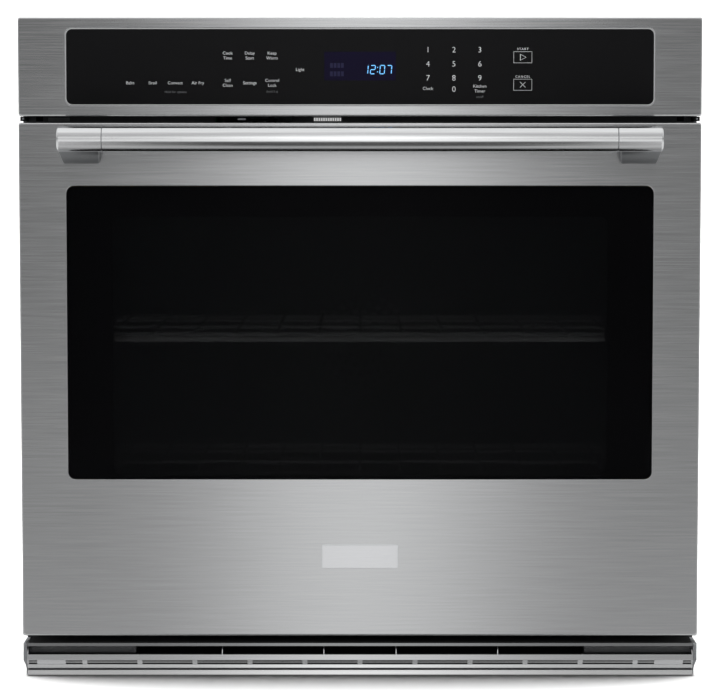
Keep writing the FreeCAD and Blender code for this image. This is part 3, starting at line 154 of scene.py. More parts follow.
def soft_light(name, place, target, width, height, watts):
    """A rectangular soft box aimed at a point, not seen in reflections unless that is set later."""
    data = bpy.data.lights.new(name, "AREA")
    data.shape = "RECTANGLE"
    data.size, data.size_y = width, height
    data.energy = watts
    made = bpy.data.objects.new(name, data)
    made.location = place
    made.rotation_euler = (Vector(target) - Vector(place)).to_track_quat("-Z", "Y").to_euler()
    made.visible_glossy = False
    bpy.context.scene.collection.objects.link(made)
    return made


def ramp(tree, value, stops):
    """A grey level that follows value, which runs from -1 to 1, through (value, level) stops."""
    place = node(tree, "ShaderNodeMapRange", {"Value": value, "From Min": -1.0, "From Max": 1.0})
    made = node(tree, "ShaderNodeValToRGB", {"Fac": place.outputs[0]})
    elements = made.color_ramp.elements
    while len(elements) < len(stops):
        elements.new(0.5)
    for element, (at, level) in zip(elements, stops):
        element.position = at * 0.5 + 0.5
        element.color = (level, level, level, 1.0)
    return made.outputs["Color"]


def maths(tree, operation, *values):
    """One arithmetic step in a shader: its values are numbers or sockets, in order."""
    made = node(tree, "ShaderNodeMath", dict(enumerate(values)), operation=operation)
    return made.outputs[0]


# Where the steel looks, by the direction's height from -1 to 1. ROOM is the room's level, CLOTH a
# narrow dark cloth in its middle that gives the handle its dark line, and STRIP a tall light
# behind the camera, which gives brushed steel its bright middle and darker ends. The room grows
# paler to the sides, and a narrow dark screen stands far behind the oven.
STRIP_WIDTH = 0.052
CLOTH_HALF, CLOTH_EDGE = 0.089, 0.006
SIDES_FROM, SIDES_TO, SIDES_LEVEL = 0.3, 0.8, 0.25
SCREEN_DEPTH, SCREEN_HALF, SCREEN_DARK = 0.72, 0.1, 0.9
MATT_LOSS = 0.93
ROOM_LEVEL = 1.5
HORIZON_UP = [(-0.12, 0.28), (-0.05, 0.11), (0.0, 0.03), (0.08, 0.06), (0.25, 0.38), (0.75, 0.60),
              (0.93, 0.95), (1.0, 0.95)]
ROOM = [(-1.0, 0.40), (-0.93, 0.70), (-0.45, 0.72), (-0.3, 0.50), (-0.2, 0.44)] + HORIZON_UP
CLOTH = [(-1.0, 0.38), (-0.93, 0.24), (-0.88, 0.04), (-0.46, 0.04), (-0.38, 0.36),
         (-0.2, 0.44)] + HORIZON_UP
STRIP = [(-0.45, 0.05), (-0.30, 0.30), (-0.15, 0.55), (-0.03, 0.73), (0.05, 0.87), (0.35, 0.75),
         (0.7, 0.12), (0.8, 0.0)]


def studio_world():
    """Light from all round, set by direction: a level by height, then strip and cloth by side.

    The strip falls off as a bell curve, exp(-(x / STRIP_WIDTH) squared)."""
    world = bpy.data.worlds.new("studio")
    bpy.context.scene.world = world
    world.use_nodes = True
    tree = world.node_tree
    tree.nodes.clear()
    way = node(tree, "ShaderNodeTexCoord")
    split = node(tree, "ShaderNodeSeparateXYZ", {"Vector": way.outputs["Generated"]})
    side, height = split.outputs["X"], split.outputs["Z"]
    across = maths(tree, "DIVIDE", side, STRIP_WIDTH)
    fall = maths(tree, "MULTIPLY", maths(tree, "MULTIPLY", across, across), -1.0)
    front = maths(tree, "LESS_THAN", split.outputs["Y"], 0.0)
    strip = maths(tree, "MULTIPLY", maths(tree, "EXPONENT", fall), front)
    strip = maths(tree, "MULTIPLY", strip, ramp(tree, height, STRIP))
    off_middle = maths(tree, "ABSOLUTE", side)
    cloth_edge = {"Value": off_middle, "From Min": CLOTH_HALF - CLOTH_EDGE,
                  "From Max": CLOTH_HALF + CLOTH_EDGE}
    edge = node(tree, "ShaderNodeMapRange", cloth_edge, interpolation_type="SMOOTHSTEP")
    room = node(tree, "ShaderNodeMix", {"Factor": edge.outputs[0]}, data_type="FLOAT")
    tree.links.new(ramp(tree, height, CLOTH), room.inputs[2])
    tree.links.new(ramp(tree, height, ROOM), room.inputs[3])
    rise = {"Value": off_middle, "From Min": SIDES_FROM, "From Max": SIDES_TO, "To Max": SIDES_LEVEL}
    walls = node(tree, "ShaderNodeMapRange", rise, interpolation_type="SMOOTHSTEP")
    total = maths(tree, "ADD", maths(tree, "ADD", room.outputs[0], strip), walls.outputs[0])
    behind = maths(tree, "GREATER_THAN", split.outputs["Y"], SCREEN_DEPTH)
    narrow = maths(tree, "LESS_THAN", off_middle, SCREEN_HALF)
    screen = maths(tree, "MULTIPLY", maths(tree, "MULTIPLY", behind, narrow), SCREEN_DARK)
    total = maths(tree, "MULTIPLY", total, maths(tree, "SUBTRACT", 1.0, screen))
    # Matt surfaces get little of this light, so that the soft boxes set them; steel gets it all.
    bounces = node(tree, "ShaderNodeLightPath").outputs["Diffuse Depth"]
    matt = maths(tree, "MULTIPLY", maths(tree, "MINIMUM", bounces, 1.0), MATT_LOSS)
    total = maths(tree, "MULTIPLY", total, maths(tree, "SUBTRACT", 1.0, matt))
    strength = maths(tree, "MULTIPLY", total, ROOM_LEVEL)
    light = node(tree, "ShaderNodeBackground", {"Strength": strength})
    node(tree, "ShaderNodeOutputWorld", {"Surface": light.outputs[0]})


face_low, face_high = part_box("door_outer_skin")
AIM_HEIGHT = 340 * MM
aim = Vector((0, face_low.y, AIM_HEIGHT))
camera = bpy.data.objects.new("camera", bpy.data.cameras.new("camera"))
camera.data.lens = CAMERA_LENS
camera.data.sensor_width = 36.0
camera.location = aim + Vector((0, -math.cos(CAMERA_PITCH), math.sin(CAMERA_PITCH))) * CAMERA_DISTANCE
camera.rotation_euler = (math.pi / 2 - CAMERA_PITCH, 0, 0)
bpy.context.scene.collection.objects.link(camera)
bpy.context.scene.camera = camera
bpy.context.scene.view_settings.view_transform = "Standard"
studio()
studio_world()
overhead = soft_light("overhead", (0, 0.02, 2.9), (0, 0.02, 0), width=2.8, height=0.7, watts=300)
soft_light("wall_light", (0, 3.4, 4.2), (0, 6.6, 0.6), width=7.0, height=1.6, watts=480)
# A weak light just inside the window stands for the room's light that reaches the racks.
soft_light("window_light", (0, -0.283, 0.33), (0, 0.2, 0.33), width=0.56, height=0.32, watts=0.38)
# Light from the room in front reaches every matt surface but the floor, so that the oven's own
# shadow stays dark where it meets the floor.
fill = soft_light("front_fill", (0, -2.6, 1.5), (0, -0.3, 0.35), width=2.4, height=1.6, watts=18)
unlit = bpy.data.collections.new("not_lit_by_front_fill")
unlit.objects.link(bpy.data.objects["studio_floor"])
unlit.collection_objects[0].light_linking.link_state = "EXCLUDE"
fill.light_linking.receiver_collection = unlit


# ---------------------------------------------------------------------------------------------
# Door skin. One sheet of stainless steel, brushed along its width, folded back on all four
# sides round a rolled edge, with a rounded window cut out. Its foot is cut away for the swing.
SKIN_SHEET = 1.2 * MM
ROLL = 2.0 * MM
HEM = 0.35 * MM
CORNER = ROLL + 0.2 * MM
WELD = 2e-6


def piece(name, parts, body, surface, sharp=35.0, replaces=(), bevel=0.0):
    """Joins (points, faces) parts into one mesh of closed shells that rides on a body."""
    mesh = bpy.data.meshes.new(name)
    points, faces, base = [], [], 0
    for part_points, part_faces in parts:
        points.append(np.asarray(part_points, float).reshape(-1, 3))
        faces += [[int(v) + base for v in f] for f in part_faces]
        base += len(points[-1])
    mesh.from_pydata(np.concatenate(points).tolist(), [], faces)
    tidy = bmesh.new()
    tidy.from_mesh(mesh)
    bmesh.ops.remove_doubles(tidy, verts=tidy.verts, dist=WELD)
    bmesh.ops.recalc_face_normals(tidy, faces=tidy.faces)
    tidy.to_mesh(mesh)
    tidy.free()
    mesh.shade_smooth()
    mesh.set_sharp_from_angle(angle=math.radians(sharp))
    mesh.materials.append(surface)
    made = bpy.data.objects.new(name, mesh)
    bpy.context.scene.collection.objects.link(made)
    if bevel:
        edge = made.modifiers.new("softened_edges", "BEVEL")
        edge.width = bevel
        edge.segments = 2
        edge.limit_method = "ANGLE"
        edge.angle_limit = math.radians(40)
        edge.harden_normals = True
    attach(made, body)
    if replaces:
        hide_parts(*replaces)
    return made


def outline(half, low, high, radius, side=(), foot=(), steps=7):
    """Rounded rectangle in x and z, anticlockwise from its bottom right corner.

    Each corner is a quarter circle; side and foot are shares along the upright and the bottom
    edges where extra points stand."""
    turn = np.linspace(0, math.pi / 2, steps)
    arcs = []
    for i, (cx, cz) in enumerate([(half - radius, low + radius), (half - radius, high - radius),
                                  (-half + radius, high - radius), (-half + radius, low + radius)]):
        a = turn + (i - 1) * math.pi / 2
        arcs.append(np.stack([cx + radius * np.cos(a), cz + radius * np.sin(a)], axis=1))
    side, foot = np.asarray(side, float), np.asarray(foot, float)
    up = low + radius + side * (high - low - 2 * radius)
    right = np.stack([np.full(len(up), half), up], axis=1)
    left = np.stack([np.full(len(up), -half), up[::-1]], axis=1)
    bottom = np.stack([-half + radius + foot * 2 * (half - radius), np.full(len(foot), low)], axis=1)
    return np.concatenate([arcs[0], right, arcs[1], arcs[2], left, arcs[3], bottom])


def ring(shape, depth):
    """An outline stood up in the frame: y is depth, one number or one for each point."""
    return np.stack([shape[:, 0], np.broadcast_to(depth, len(shape)), shape[:, 1]], axis=1)


def shell(rings, wrap=True):
    """Points and faces of a stack of rings; wrap joins the last ring to the first."""
    points = np.stack(rings)
    return points.reshape(-1, 3), grid_faces(len(rings), points.shape[1], wrap, True)


def folded_panel(low, high, window, window_radius, back, side=(), foot=()):
    """Sheet front with a window: front face, rolled outer edge, folded sides to depth back(x, z).

    The profile goes round the sheet's section, so front and inside are both there."""
    half = high.x
    wx, wz0, wz1 = window
    front = low.y
    rings = []
    for grow, y in ((0, front + SKIN_SHEET), (0, front + HEM), (HEM, front), (2 * HEM, front)):
        rings.append(ring(outline(wx + grow, wz0 - grow, wz1 + grow, window_radius + grow, side, foot), y))
    inset = ROLL + HEM
    rings.append(ring(outline(half - inset, low.z + inset, high.z - inset, CORNER, side, foot), front))
    for a in np.linspace(0, math.pi / 2, 7):
        inset = ROLL * (1 - math.sin(a))
        shape = outline(half - inset, low.z + inset, high.z - inset, CORNER, side, foot)
        rings.append(ring(shape, front + ROLL * (1 - math.cos(a))))
    outer = outline(half, low.z, high.z, CORNER, side, foot)
    rings.append(ring(outer, front + ROLL + HEM))
    rings.append(ring(outer, back(outer[:, 0], outer[:, 1])))
    t = SKIN_SHEET
    inner = outline(half - t, low.z + t, high.z - t, ROLL, side, foot)
    rings.append(ring(inner, back(outer[:, 0], outer[:, 1])))
    rings.append(ring(inner, front + ROLL))
    inside = outline(half - ROLL, low.z + ROLL, high.z - ROLL, ROLL, side, foot)
    rings.append(ring(inside, front + t))
    return shell(rings)


DARK_STREAK, PALE_STREAK = 0.84, 1.14
SMOOTH_STREAK, ROUGH_STREAK = 0.9, 1.12
SMUDGE = 0.006


def brushed_steel(name, colour, roughness, streak_mm, streak_length_mm):
    """Stainless brushed along X: fine parallel scratches spread light across the brushing.

    Real scratches are about 0.05 mm wide, too fine to show, so they are drawn streak_mm wide."""
    made, tree, shader = material(name, Metallic=1.0, Anisotropic=0.98, Anisotropic_Rotation=0.25)
    place = node(tree, "ShaderNodeTexCoord")
    across, along = 1 / (streak_mm * MM), 1 / (streak_length_mm * MM)
    scale = (along, across, across)
    stretch = node(tree, "ShaderNodeMapping", {"Vector": place.outputs["Object"], "Scale": scale})
    streaks = node(tree, "ShaderNodeTexNoise", {"Vector": stretch.outputs[0], "Scale": 1.0, "Detail": 3.0,
                                                "Roughness": 0.6})
    cloud = node(tree, "ShaderNodeTexNoise", {"Vector": place.outputs["Object"], "Scale": 6.0,
                                              "Detail": 2.0})
    tone = node(tree, "ShaderNodeMix", {"Factor": streaks.outputs["Fac"]}, data_type="RGBA")
    light = np.array(hex_colour(colour))
    tone.inputs[6].default_value = (*(light[:3] * DARK_STREAK), 1.0)
    tone.inputs[7].default_value = (*np.minimum(light[:3] * PALE_STREAK, 1.0), 1.0)
    tree.links.new(tone.outputs[2], shader.inputs["Base Color"])
    middle = {"From Min": 0.3, "From Max": 0.7}
    rough = node(tree, "ShaderNodeMapRange", {**middle, "Value": streaks.outputs["Fac"],
                                              "To Min": roughness * SMOOTH_STREAK,
                                              "To Max": roughness * ROUGH_STREAK})
    smudge = node(tree, "ShaderNodeMapRange", {**middle, "Value": cloud.outputs["Fac"],
                                               "To Min": -SMUDGE, "To Max": SMUDGE})
    both = node(tree, "ShaderNodeMath", {0: rough.outputs[0], 1: smudge.outputs[0]}, operation="ADD")
    tree.links.new(both.outputs[0], shader.inputs["Roughness"])
    bump = node(tree, "ShaderNodeBump", {"Height": streaks.outputs["Fac"], "Strength": 0.1,
                                         "Distance": 0.02 * MM})
    tree.links.new(bump.outputs[0], shader.inputs["Normal"])
    grain = node(tree, "ShaderNodeTangent", direction_type="RADIAL", axis="Z")
    tree.links.new(grain.outputs[0], shader.inputs["Tangent"])
    return made


stainless = brushed_steel("brushed_stainless_steel", "#c9cacb", 0.17, 1.1, 90)
joint = {j["name"]: j for j in frame["joints"]}
hinge = Vector(joint["door_hinge"]["pos_m"])
glass_low, glass_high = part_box("door_outer_glass")
channel_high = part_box("hinge_channels")[1]
HINGE_HALF = 10 * MM
NOTCH_GAP, NOTCH_DEPTH = 1 * MM, 1.8 * MM
BEHIND_HINGE = 4 * MM
SLOPE_START = 1.4 * MM
hinge_x = channel_high.x - HINGE_HALF
notch_in, notch_out = hinge_x - HINGE_HALF - NOTCH_GAP, hinge_x + HINGE_HALF + NOTCH_GAP


def door_back(x, z):
    """Depth of the folded edge: full above the hinge line, sloping in to the foot, none at a hinge."""
    slope = (face_high.y - hinge.y - BEHIND_HINGE) / (hinge.z - face_low.z - SLOPE_START)
    up = np.maximum(z - face_low.z - SLOPE_START, 0)
    depth = np.minimum(face_high.y, hinge.y + BEHIND_HINGE + up * slope)
    at_hinge = (np.abs(x) > notch_in) & (np.abs(x) < notch_out) & (z < face_low.z + SKIN_SHEET)
    return np.where(at_hinge, face_low.y + SKIN_SHEET + NOTCH_DEPTH, depth)


NOTCH_STEP = 0.01 * MM
run = face_high.z - face_low.z - 2 * CORNER
foot_run = 2 * (face_high.x - CORNER)
side_stops = [(hinge.z - face_low.z - CORNER) / run, 0.3, 0.6]
edges = np.array([notch_in - NOTCH_STEP, notch_in + NOTCH_STEP,
                  notch_out - NOTCH_STEP, notch_out + NOTCH_STEP])
foot_stops = np.sort(np.concatenate([-edges, edges]) / foot_run + 0.5)
WINDOW_GAP, WINDOW_RADIUS = 0.3 * MM, 8.3 * MM
window = (glass_high.x + WINDOW_GAP, glass_low.z - WINDOW_GAP, glass_high.z + WINDOW_GAP)
door_sheet = folded_panel(face_low, face_high, window, WINDOW_RADIUS, door_back, side_stops, foot_stops)
piece("door_front_sheet", [door_sheet], "door", stainless, 50, ["door_outer_skin"])


# ---------------------------------------------------------------------------------------------
# Window. A flat pane of toughened float glass with a polished edge, printed black on its inner
# face except for the see-through middle. Two clear panes stand behind it in a folded frame.
def printed_glass(name, alpha):
    """Toughened float glass, tinted dark; its surface is a clean mirror with a weak reflection."""
    made, tree, shader = material(name, Base_Color=hex_colour("#050506"), Alpha=alpha,
                                  Specular_IOR_Level=0.035, IOR=1.5)
    place = node(tree, "ShaderNodeTexCoord")
    film = node(tree, "ShaderNodeTexNoise", {"Vector": place.outputs["Object"], "Scale": 9.0,
                                             "Detail": 3.0})
    haze = node(tree, "ShaderNodeMapRange", {"Value": film.outputs["Fac"], "From Min": 0.35,
                                             "From Max": 0.7, "To Min": 0.1, "To Max": 0.14})
    tree.links.new(haze.outputs[0], shader.inputs["Roughness"])
    return made


window_tint = printed_glass("tinted_window_glass", 0.72)
nodes = frame["nodes"]
nodes["door_outer_glass"].data.materials.clear()
nodes["door_outer_glass"].data.materials.append(window_tint)

VIEW_HALF = glass_high.x - 50 * MM
VIEW_LOW = glass_low.z + 4 * MM
VIEW_HIGH = glass_high.z - 34 * MM
VIEW_RADIUS, PRINT_RADIUS = 9 * MM, 7 * MM
PRINT, PRINT_GAP, PRINT_MARGIN = 0.06 * MM, 0.02 * MM, 1.0 * MM


def black_print():
    """Ceramic print fired on the glass: near black, quite matt, with a faint dot grain."""
    made, tree, shader = material("black_ceramic_print", Base_Color=hex_colour("#050505"),
                                  Specular_IOR_Level=0.1)
    place = node(tree, "ShaderNodeTexCoord")
    dots = node(tree, "ShaderNodeTexVoronoi", {"Vector": place.outputs["Object"], "Scale": 900.0})
    rough = node(tree, "ShaderNodeMapRange", {"Value": dots.outputs["Distance"], "From Max": 0.7,
                                              "To Min": 0.5, "To Max": 0.7})
    tree.links.new(rough.outputs[0], shader.inputs["Roughness"])
    return made


def frame_ring(inner, outer, y0, y1, inner_radius, outer_radius):
    """Flat border between two rounded rectangles (half, low, high), from y0 to y1."""
    a = outline(*inner, inner_radius)
    b = outline(*outer, outer_radius)
    return shell([ring(a, y0), ring(b, y0), ring(b, y1), ring(a, y1)])


print_outer = (glass_high.x - PRINT_MARGIN, glass_low.z + PRINT_MARGIN, glass_high.z - PRINT_MARGIN)
print_border = frame_ring((VIEW_HALF, VIEW_LOW, VIEW_HIGH), print_outer, glass_high.y + PRINT_GAP,
                          glass_high.y + PRINT_GAP + PRINT, VIEW_RADIUS, PRINT_RADIUS)
piece("window_print", [print_border], "door", black_print())


def clear_glass():
    """Clear float glass, faintly green, with a heat-reflecting coat that shows as a soft sheen."""
    made, tree, shader = material("clear_float_glass", Base_Color=hex_colour("#9db3ac"), Alpha=0.10,
                                  Specular_IOR_Level=0.3, IOR=1.5)
    place = node(tree, "ShaderNodeTexCoord")
    film = node(tree, "ShaderNodeTexNoise", {"Vector": place.outputs["Object"], "Scale": 14.0})
    haze = node(tree, "ShaderNodeMapRange", {"Value": film.outputs["Fac"], "To Min": 0.03, "To Max": 0.09})
    tree.links.new(haze.outputs[0], shader.inputs["Roughness"])
    return made


def dress(names, surface):
    """Gives CAD nodes that keep their own shape a material."""
    for name in names:
        slots = nodes[name].data.materials
        slots.clear()
        slots.append(surface)


dress(["door_middle_glass", "door_inner_glass", "lamp_lens", "lamp_bulb"], clear_glass())


# ---------------------------------------------------------------------------------------------
# Control panel. The same folded, brushed sheet as the door, round a black glass touch panel whose
# polished bevel catches the light. The glass is bonded to a moulded tray.
panel_low, panel_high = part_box("control_panel_frame")
control_low, control_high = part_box("control_glass")
PANEL_WINDOW_GAP, PANEL_WINDOW_RADIUS = 0.4 * MM, 7.9 * MM
panel_window = (control_high.x + PANEL_WINDOW_GAP, control_low.z - PANEL_WINDOW_GAP,
                control_high.z + PANEL_WINDOW_GAP)
panel_sheet = folded_panel(panel_low, panel_high, panel_window, PANEL_WINDOW_RADIUS,
                           lambda x, z: np.full(len(x), panel_high.y))
piece("control_panel_sheet", [panel_sheet], "chassis", stainless, 50, ["control_panel_frame"])


def solid(rings):
    """Points and faces of a stack of rings closed by one flat face at each end."""
    points, faces = shell(rings, wrap=False)
    count = rings[0].shape[0]
    last = len(points) - count
    return points, faces.tolist() + [list(range(count))[::-1], list(range(last, last + count))]


GLASS_BEVEL, GLASS_INSET, GLASS_RADIUS = 0.9 * MM, 1.2 * MM, 6.4 * MM
glass_front, glass_back = control_low.y, control_high.y


def slab_rings(half, low, high, radius, front, back, bevel):
    """A rounded rectangle from back to front with a 45 degree bevel round its front edge."""
    return [ring(outline(half, low, high, radius), back),
            ring(outline(half, low, high, radius), front + bevel),
            ring(outline(half - bevel, low + bevel, high - bevel, radius - bevel), front)]


def touch_glass():
    """Black-backed touch glass: a dark face with a weak reflection and a faint, uneven haze."""
    made, tree, shader = material("black_touch_glass", Base_Color=hex_colour("#161617"),
                                  Specular_IOR_Level=0.06)
    place = node(tree, "ShaderNodeTexCoord")
    film = node(tree, "ShaderNodeTexNoise", {"Vector": place.outputs["Object"], "Scale": 22.0})
    haze = node(tree, "ShaderNodeMapRange", {"Value": film.outputs["Fac"], "To Min": 0.12, "To Max": 0.2})
    tree.links.new(haze.outputs[0], shader.inputs["Roughness"])
    return made


touch = slab_rings(control_high.x - GLASS_INSET, control_low.z + GLASS_INSET, control_high.z - GLASS_INSET,
                   GLASS_RADIUS, glass_front, glass_back, GLASS_BEVEL)
piece("control_touch_glass", [solid(touch)], "chassis", touch_glass(), 30, ["control_glass"])


# A thin bright steel ring laid over the glass's edge shows as a fine line round it: a painted highlight
# that stands for the light the polished bevel catches.
RIM, RIM_OUT, RIM_DEEP = 1.1 * MM, 0.2 * MM, 1.2 * MM
RIM_RADII = (6.6 * MM, 7.7 * MM)
bevel_highlight_steel = brushed_steel("bevel_highlight_ring_steel", "#e2e3e4", 0.35, 0.6, 40)
rim_line = frame_ring((control_high.x - RIM, control_low.z + RIM, control_high.z - RIM),
                      (control_high.x + RIM_OUT, control_low.z - RIM_OUT, control_high.z + RIM_OUT),
                      glass_front, glass_front + RIM_DEEP, *RIM_RADII)
piece("control_glass_channel", [rim_line], "chassis", bevel_highlight_steel, 30, bevel=0.25 * MM)

# Legends printed in white and pale grey on the glass: cooking modes on the left, options beside
# them, then a number pad and the start and cancel keys on the right. Words are generic.
PRINT_LIFT = 0.015 * MM
LEGEND_X = np.array([-253.7, -228.9, -204.1, -179.1]) * MM
OPTION_X = np.array([-146.1, -121.7, -97.0]) * MM
PAD_X = np.array([75.0, 103.7, 132.3]) * MM
KEY_X = 179.7 * MM
LIGHT_X = -66.2 * MM
HIGH_ROW, LOW_ROW = 666.0 * MM, 636.0 * MM
START_Z, CANCEL_Z = 664.0 * MM, 633.8 * MM
TYPE_SIZE = 1.38


def words(text, x, z, height, space=1.0, swell=-0.01):
    """One line of lettering centred on (x, z): outlines of the built-in face, filled and thin.

    height is a capital's, and the face's size is TYPE_SIZE times that."""
    curve = bpy.data.curves.new("line", "FONT")
    curve.body = text
    curve.size = height * TYPE_SIZE
    curve.space_character = space
    curve.align_x = "CENTER"
    curve.extrude = 0.01 * MM
    curve.offset = swell * MM
    curve.resolution_u = 3
    made = bpy.data.objects.new("line", curve)
    mesh = bpy.data.meshes.new_from_object(made)
    flat = np.zeros(len(mesh.vertices) * 3)
    mesh.vertices.foreach_get("co", flat)
    flat = flat.reshape(-1, 3)
    depth = glass_front - PRINT_LIFT - flat[:, 2]
    points = np.stack([flat[:, 0] + x, depth, flat[:, 1] + z - height / 2], axis=1)
    faces = [list(p.vertices) for p in mesh.polygons]
    bpy.data.objects.remove(made)
    bpy.data.meshes.remove(mesh)
    return points, faces


def bar_2d(x0, x1, z0, z1, lift=PRINT_LIFT, depth=0.02 * MM):
    """A flat upright box on the face of the glass."""
    corners = np.array([[x0, z0], [x1, z0], [x1, z1], [x0, z1]])
    y = glass_front - lift
    return solid([ring(corners, y + depth / 2), ring(corners, y - depth / 2)])


def box_line(x, z, half, tall, width):
    """A thin square outline made of four bars."""
    return [bar_2d(x - half, x + half, z + tall - width, z + tall),
            bar_2d(x - half, x + half, z - tall, z - tall + width),
            bar_2d(x - half, x - half + width, z - tall + width, z + tall - width),
            bar_2d(x + half - width, x + half, z - tall + width, z + tall - width)]


def ink(name, colour, strength):
    """Screen-printed enamel ink, slightly uneven in thickness, with a glow of its own: a painted glow on
    the printed legends, the display's own light on its digits and signs.
    """
    made, tree, shader = material(name, Roughness=0.6, Emission_Color=hex_colour(colour),
                                  Emission_Strength=strength)
    place = node(tree, "ShaderNodeTexCoord")
    grain = node(tree, "ShaderNodeTexNoise", {"Vector": place.outputs["Object"], "Scale": 2000.0})
    tone = node(tree, "ShaderNodeMix", {"Factor": grain.outputs["Fac"]}, data_type="RGBA")
    base = np.array(hex_colour(colour))
    tone.inputs[6].default_value = (*(base[:3] * 0.85), 1.0)
    tone.inputs[7].default_value = tuple(float(v) for v in base)
    tree.links.new(tone.outputs[2], shader.inputs["Base Color"])
    return made


WORD, SMALL_WORD, DIGIT = 3.5 * MM, 2.5 * MM, 6.4 * MM
LINE_STEP = 5.4 * MM
PAD_TOP, PAD_STEP = 672.5, 15.5
THIN = -0.08
KEY_HALF, KEY_TALL, KEY_LINE = 10.2 * MM, 6.3 * MM, 0.35 * MM
ARROW_SHARE = 0.80
bright = [words(t, x, LOW_ROW, WORD) for t, x in zip(("Bake", "Broil", "Convect", "Air Fry"), LEGEND_X)]
for x, pairs in zip(OPTION_X, ((("Cook", "Time"), ("Self", "Clean")), (("Delay", "Start"), ("Settings",)),
                               (("Keep", "Warm"), ("Control", "Lock")))):
    for row, lines in zip((HIGH_ROW, LOW_ROW), pairs):
        for i, line in enumerate(lines):
            bright.append(words(line, x, row + (len(lines) / 2 - 0.5 - i) * LINE_STEP, WORD))
bright.append(words("Light", LIGHT_X, 650.7 * MM, WORD))
for i in range(9):
    bright.append(words(str(i + 1), PAD_X[i % 3], (PAD_TOP - PAD_STEP * (i // 3)) * MM, DIGIT, swell=THIN))
bright.append(words("0", PAD_X[1], 629.2 * MM, DIGIT, swell=THIN))
bright.append(words("Clock", PAD_X[0], 629.8 * MM, WORD))
bright += [words("Kitchen", PAD_X[2], 632.4 * MM, WORD), words("Timer", PAD_X[2], 627.0 * MM, WORD)]
bright += [words("START", KEY_X, 673.2 * MM, SMALL_WORD, 1.35, 0.03),
           words("CANCEL", KEY_X, 642.8 * MM, SMALL_WORD, 1.35, 0.03)]
for z in (START_Z, CANCEL_Z):
    bright += box_line(KEY_X, z, KEY_HALF, KEY_TALL, KEY_LINE)
# The start key's arrow is a triangle drawn in outline: its inner edge is ARROW_SHARE of its outer.
centre = np.array([KEY_X, START_Z])
outer = np.array([[-3.0, -3.7], [4.0, 0.0], [-3.0, 3.7]]) * MM
for i in range(3):
    a, b = outer[i], outer[(i + 1) % 3]
    edge = np.array([a, b, b * ARROW_SHARE, a * ARROW_SHARE]) + centre
    bright.append(solid([ring(edge, glass_front - PRINT_LIFT), ring(edge, glass_front - 2 * PRINT_LIFT)]))
# The cancel key's cross is two slanted strokes, one a little in front of the other.
for lean in (1, -1):
    cross = np.array([[-3.2, -2.85], [-2.85, -3.2], [3.2, 2.85], [2.85, 3.2]]) * MM * np.array([lean, 1])
    cross = cross[::lean] + np.array([KEY_X, CANCEL_Z])
    lift = PRINT_LIFT * (1 if lean > 0 else 1.5)
    bright.append(solid([ring(cross, glass_front - lift), ring(cross, glass_front - lift - 0.01 * MM)]))
# The white and grey legends glow faintly: painted light, so that they read on the dark glass.
piece("control_legends", bright, "chassis", ink("white_ink_painted_glow", "#d9dadc", 0.12))
dim = [words("Hold for options", LEGEND_X[2] + 0.5 * MM, 626.0 * MM, 2.6 * MM),
       words("(hold 3 s)", OPTION_X[2], 626.4 * MM, 2.4 * MM),
       words("on/off", PAD_X[2], 620.6 * MM, 2.4 * MM)]
dim_ink_painted_glow = ink("grey_ink_painted_glow", "#6c6d70", 0.05)
piece("control_small_legends", dim, "chassis", dim_ink_painted_glow)

# Clock display: a smoked window with sky-blue segment digits and eight faint signs beside them.
DISPLAY_TONE = ("#08031e", "#0b0526")
display_low, display_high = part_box("display_module")
DISPLAY_INSET, DISPLAY_TOP_INSET = 2.0 * MM, 2.5 * MM


def smoked_window():
    """Smoked plastic window: two deep violet tones in soft patches, with a low sheen."""
    made, tree, shader = material("smoked_display_window", Specular_IOR_Level=0.12, Roughness=0.15)
    place = node(tree, "ShaderNodeTexCoord")
    spot = node(tree, "ShaderNodeTexNoise", {"Vector": place.outputs["Object"], "Scale": 30.0})
    tone = node(tree, "ShaderNodeMix", {"Factor": spot.outputs["Fac"]}, data_type="RGBA")
    tone.inputs[6].default_value = hex_colour(DISPLAY_TONE[0])
    tone.inputs[7].default_value = hex_colour(DISPLAY_TONE[1])
    tree.links.new(tone.outputs[2], shader.inputs["Base Color"])
    return made


display_half = display_high.x - DISPLAY_INSET
screen = bar_2d(-display_half, display_half, display_low.z + DISPLAY_INSET,
                display_high.z - DISPLAY_TOP_INSET, lift=0.006 * MM, depth=0.008 * MM)
piece("display_window", [screen], "chassis", smoked_window())

SEGMENTS = {"0": "abcdef", "1": "bc", "2": "abged", "7": "abc"}
DIGIT_TALL, DIGIT_WIDE, STROKE, SLANT = 9.2 * MM, 5.0 * MM, 0.95 * MM, 0.08


def segment_digit(figure, x, z):
    """Seven-segment figure: each segment a long hexagon, the whole figure leaning a little."""
    half_w, half_h = DIGIT_WIDE / 2, DIGIT_TALL / 2
    ends = {"a": ((-half_w, half_h), (half_w, half_h)), "g": ((-half_w, 0), (half_w, 0)),
            "d": ((-half_w, -half_h), (half_w, -half_h)), "f": ((-half_w, 0), (-half_w, half_h)),
            "b": ((half_w, 0), (half_w, half_h)), "e": ((-half_w, -half_h), (-half_w, 0)),
            "c": ((half_w, -half_h), (half_w, 0))}
    parts = []
    for key in SEGMENTS[figure]:
        start, end = (np.array(p) for p in ends[key])
        along = (end - start) / np.linalg.norm(end - start)
        across = np.array([-along[1], along[0]]) * STROKE / 2
        a, b = start + along * STROKE * 0.15, end - along * STROKE * 0.15
        inner = along * STROKE / 2
        hexagon = np.array([a, a + inner - across, b - inner - across, b, b - inner + across,
                            a + inner + across])
        hexagon[:, 0] += hexagon[:, 1] * SLANT
        hexagon += np.array([x, z])
        parts.append(solid([ring(hexagon, glass_front - PRINT_LIFT),
                            ring(hexagon, glass_front - 2 * PRINT_LIFT)]))
    return parts


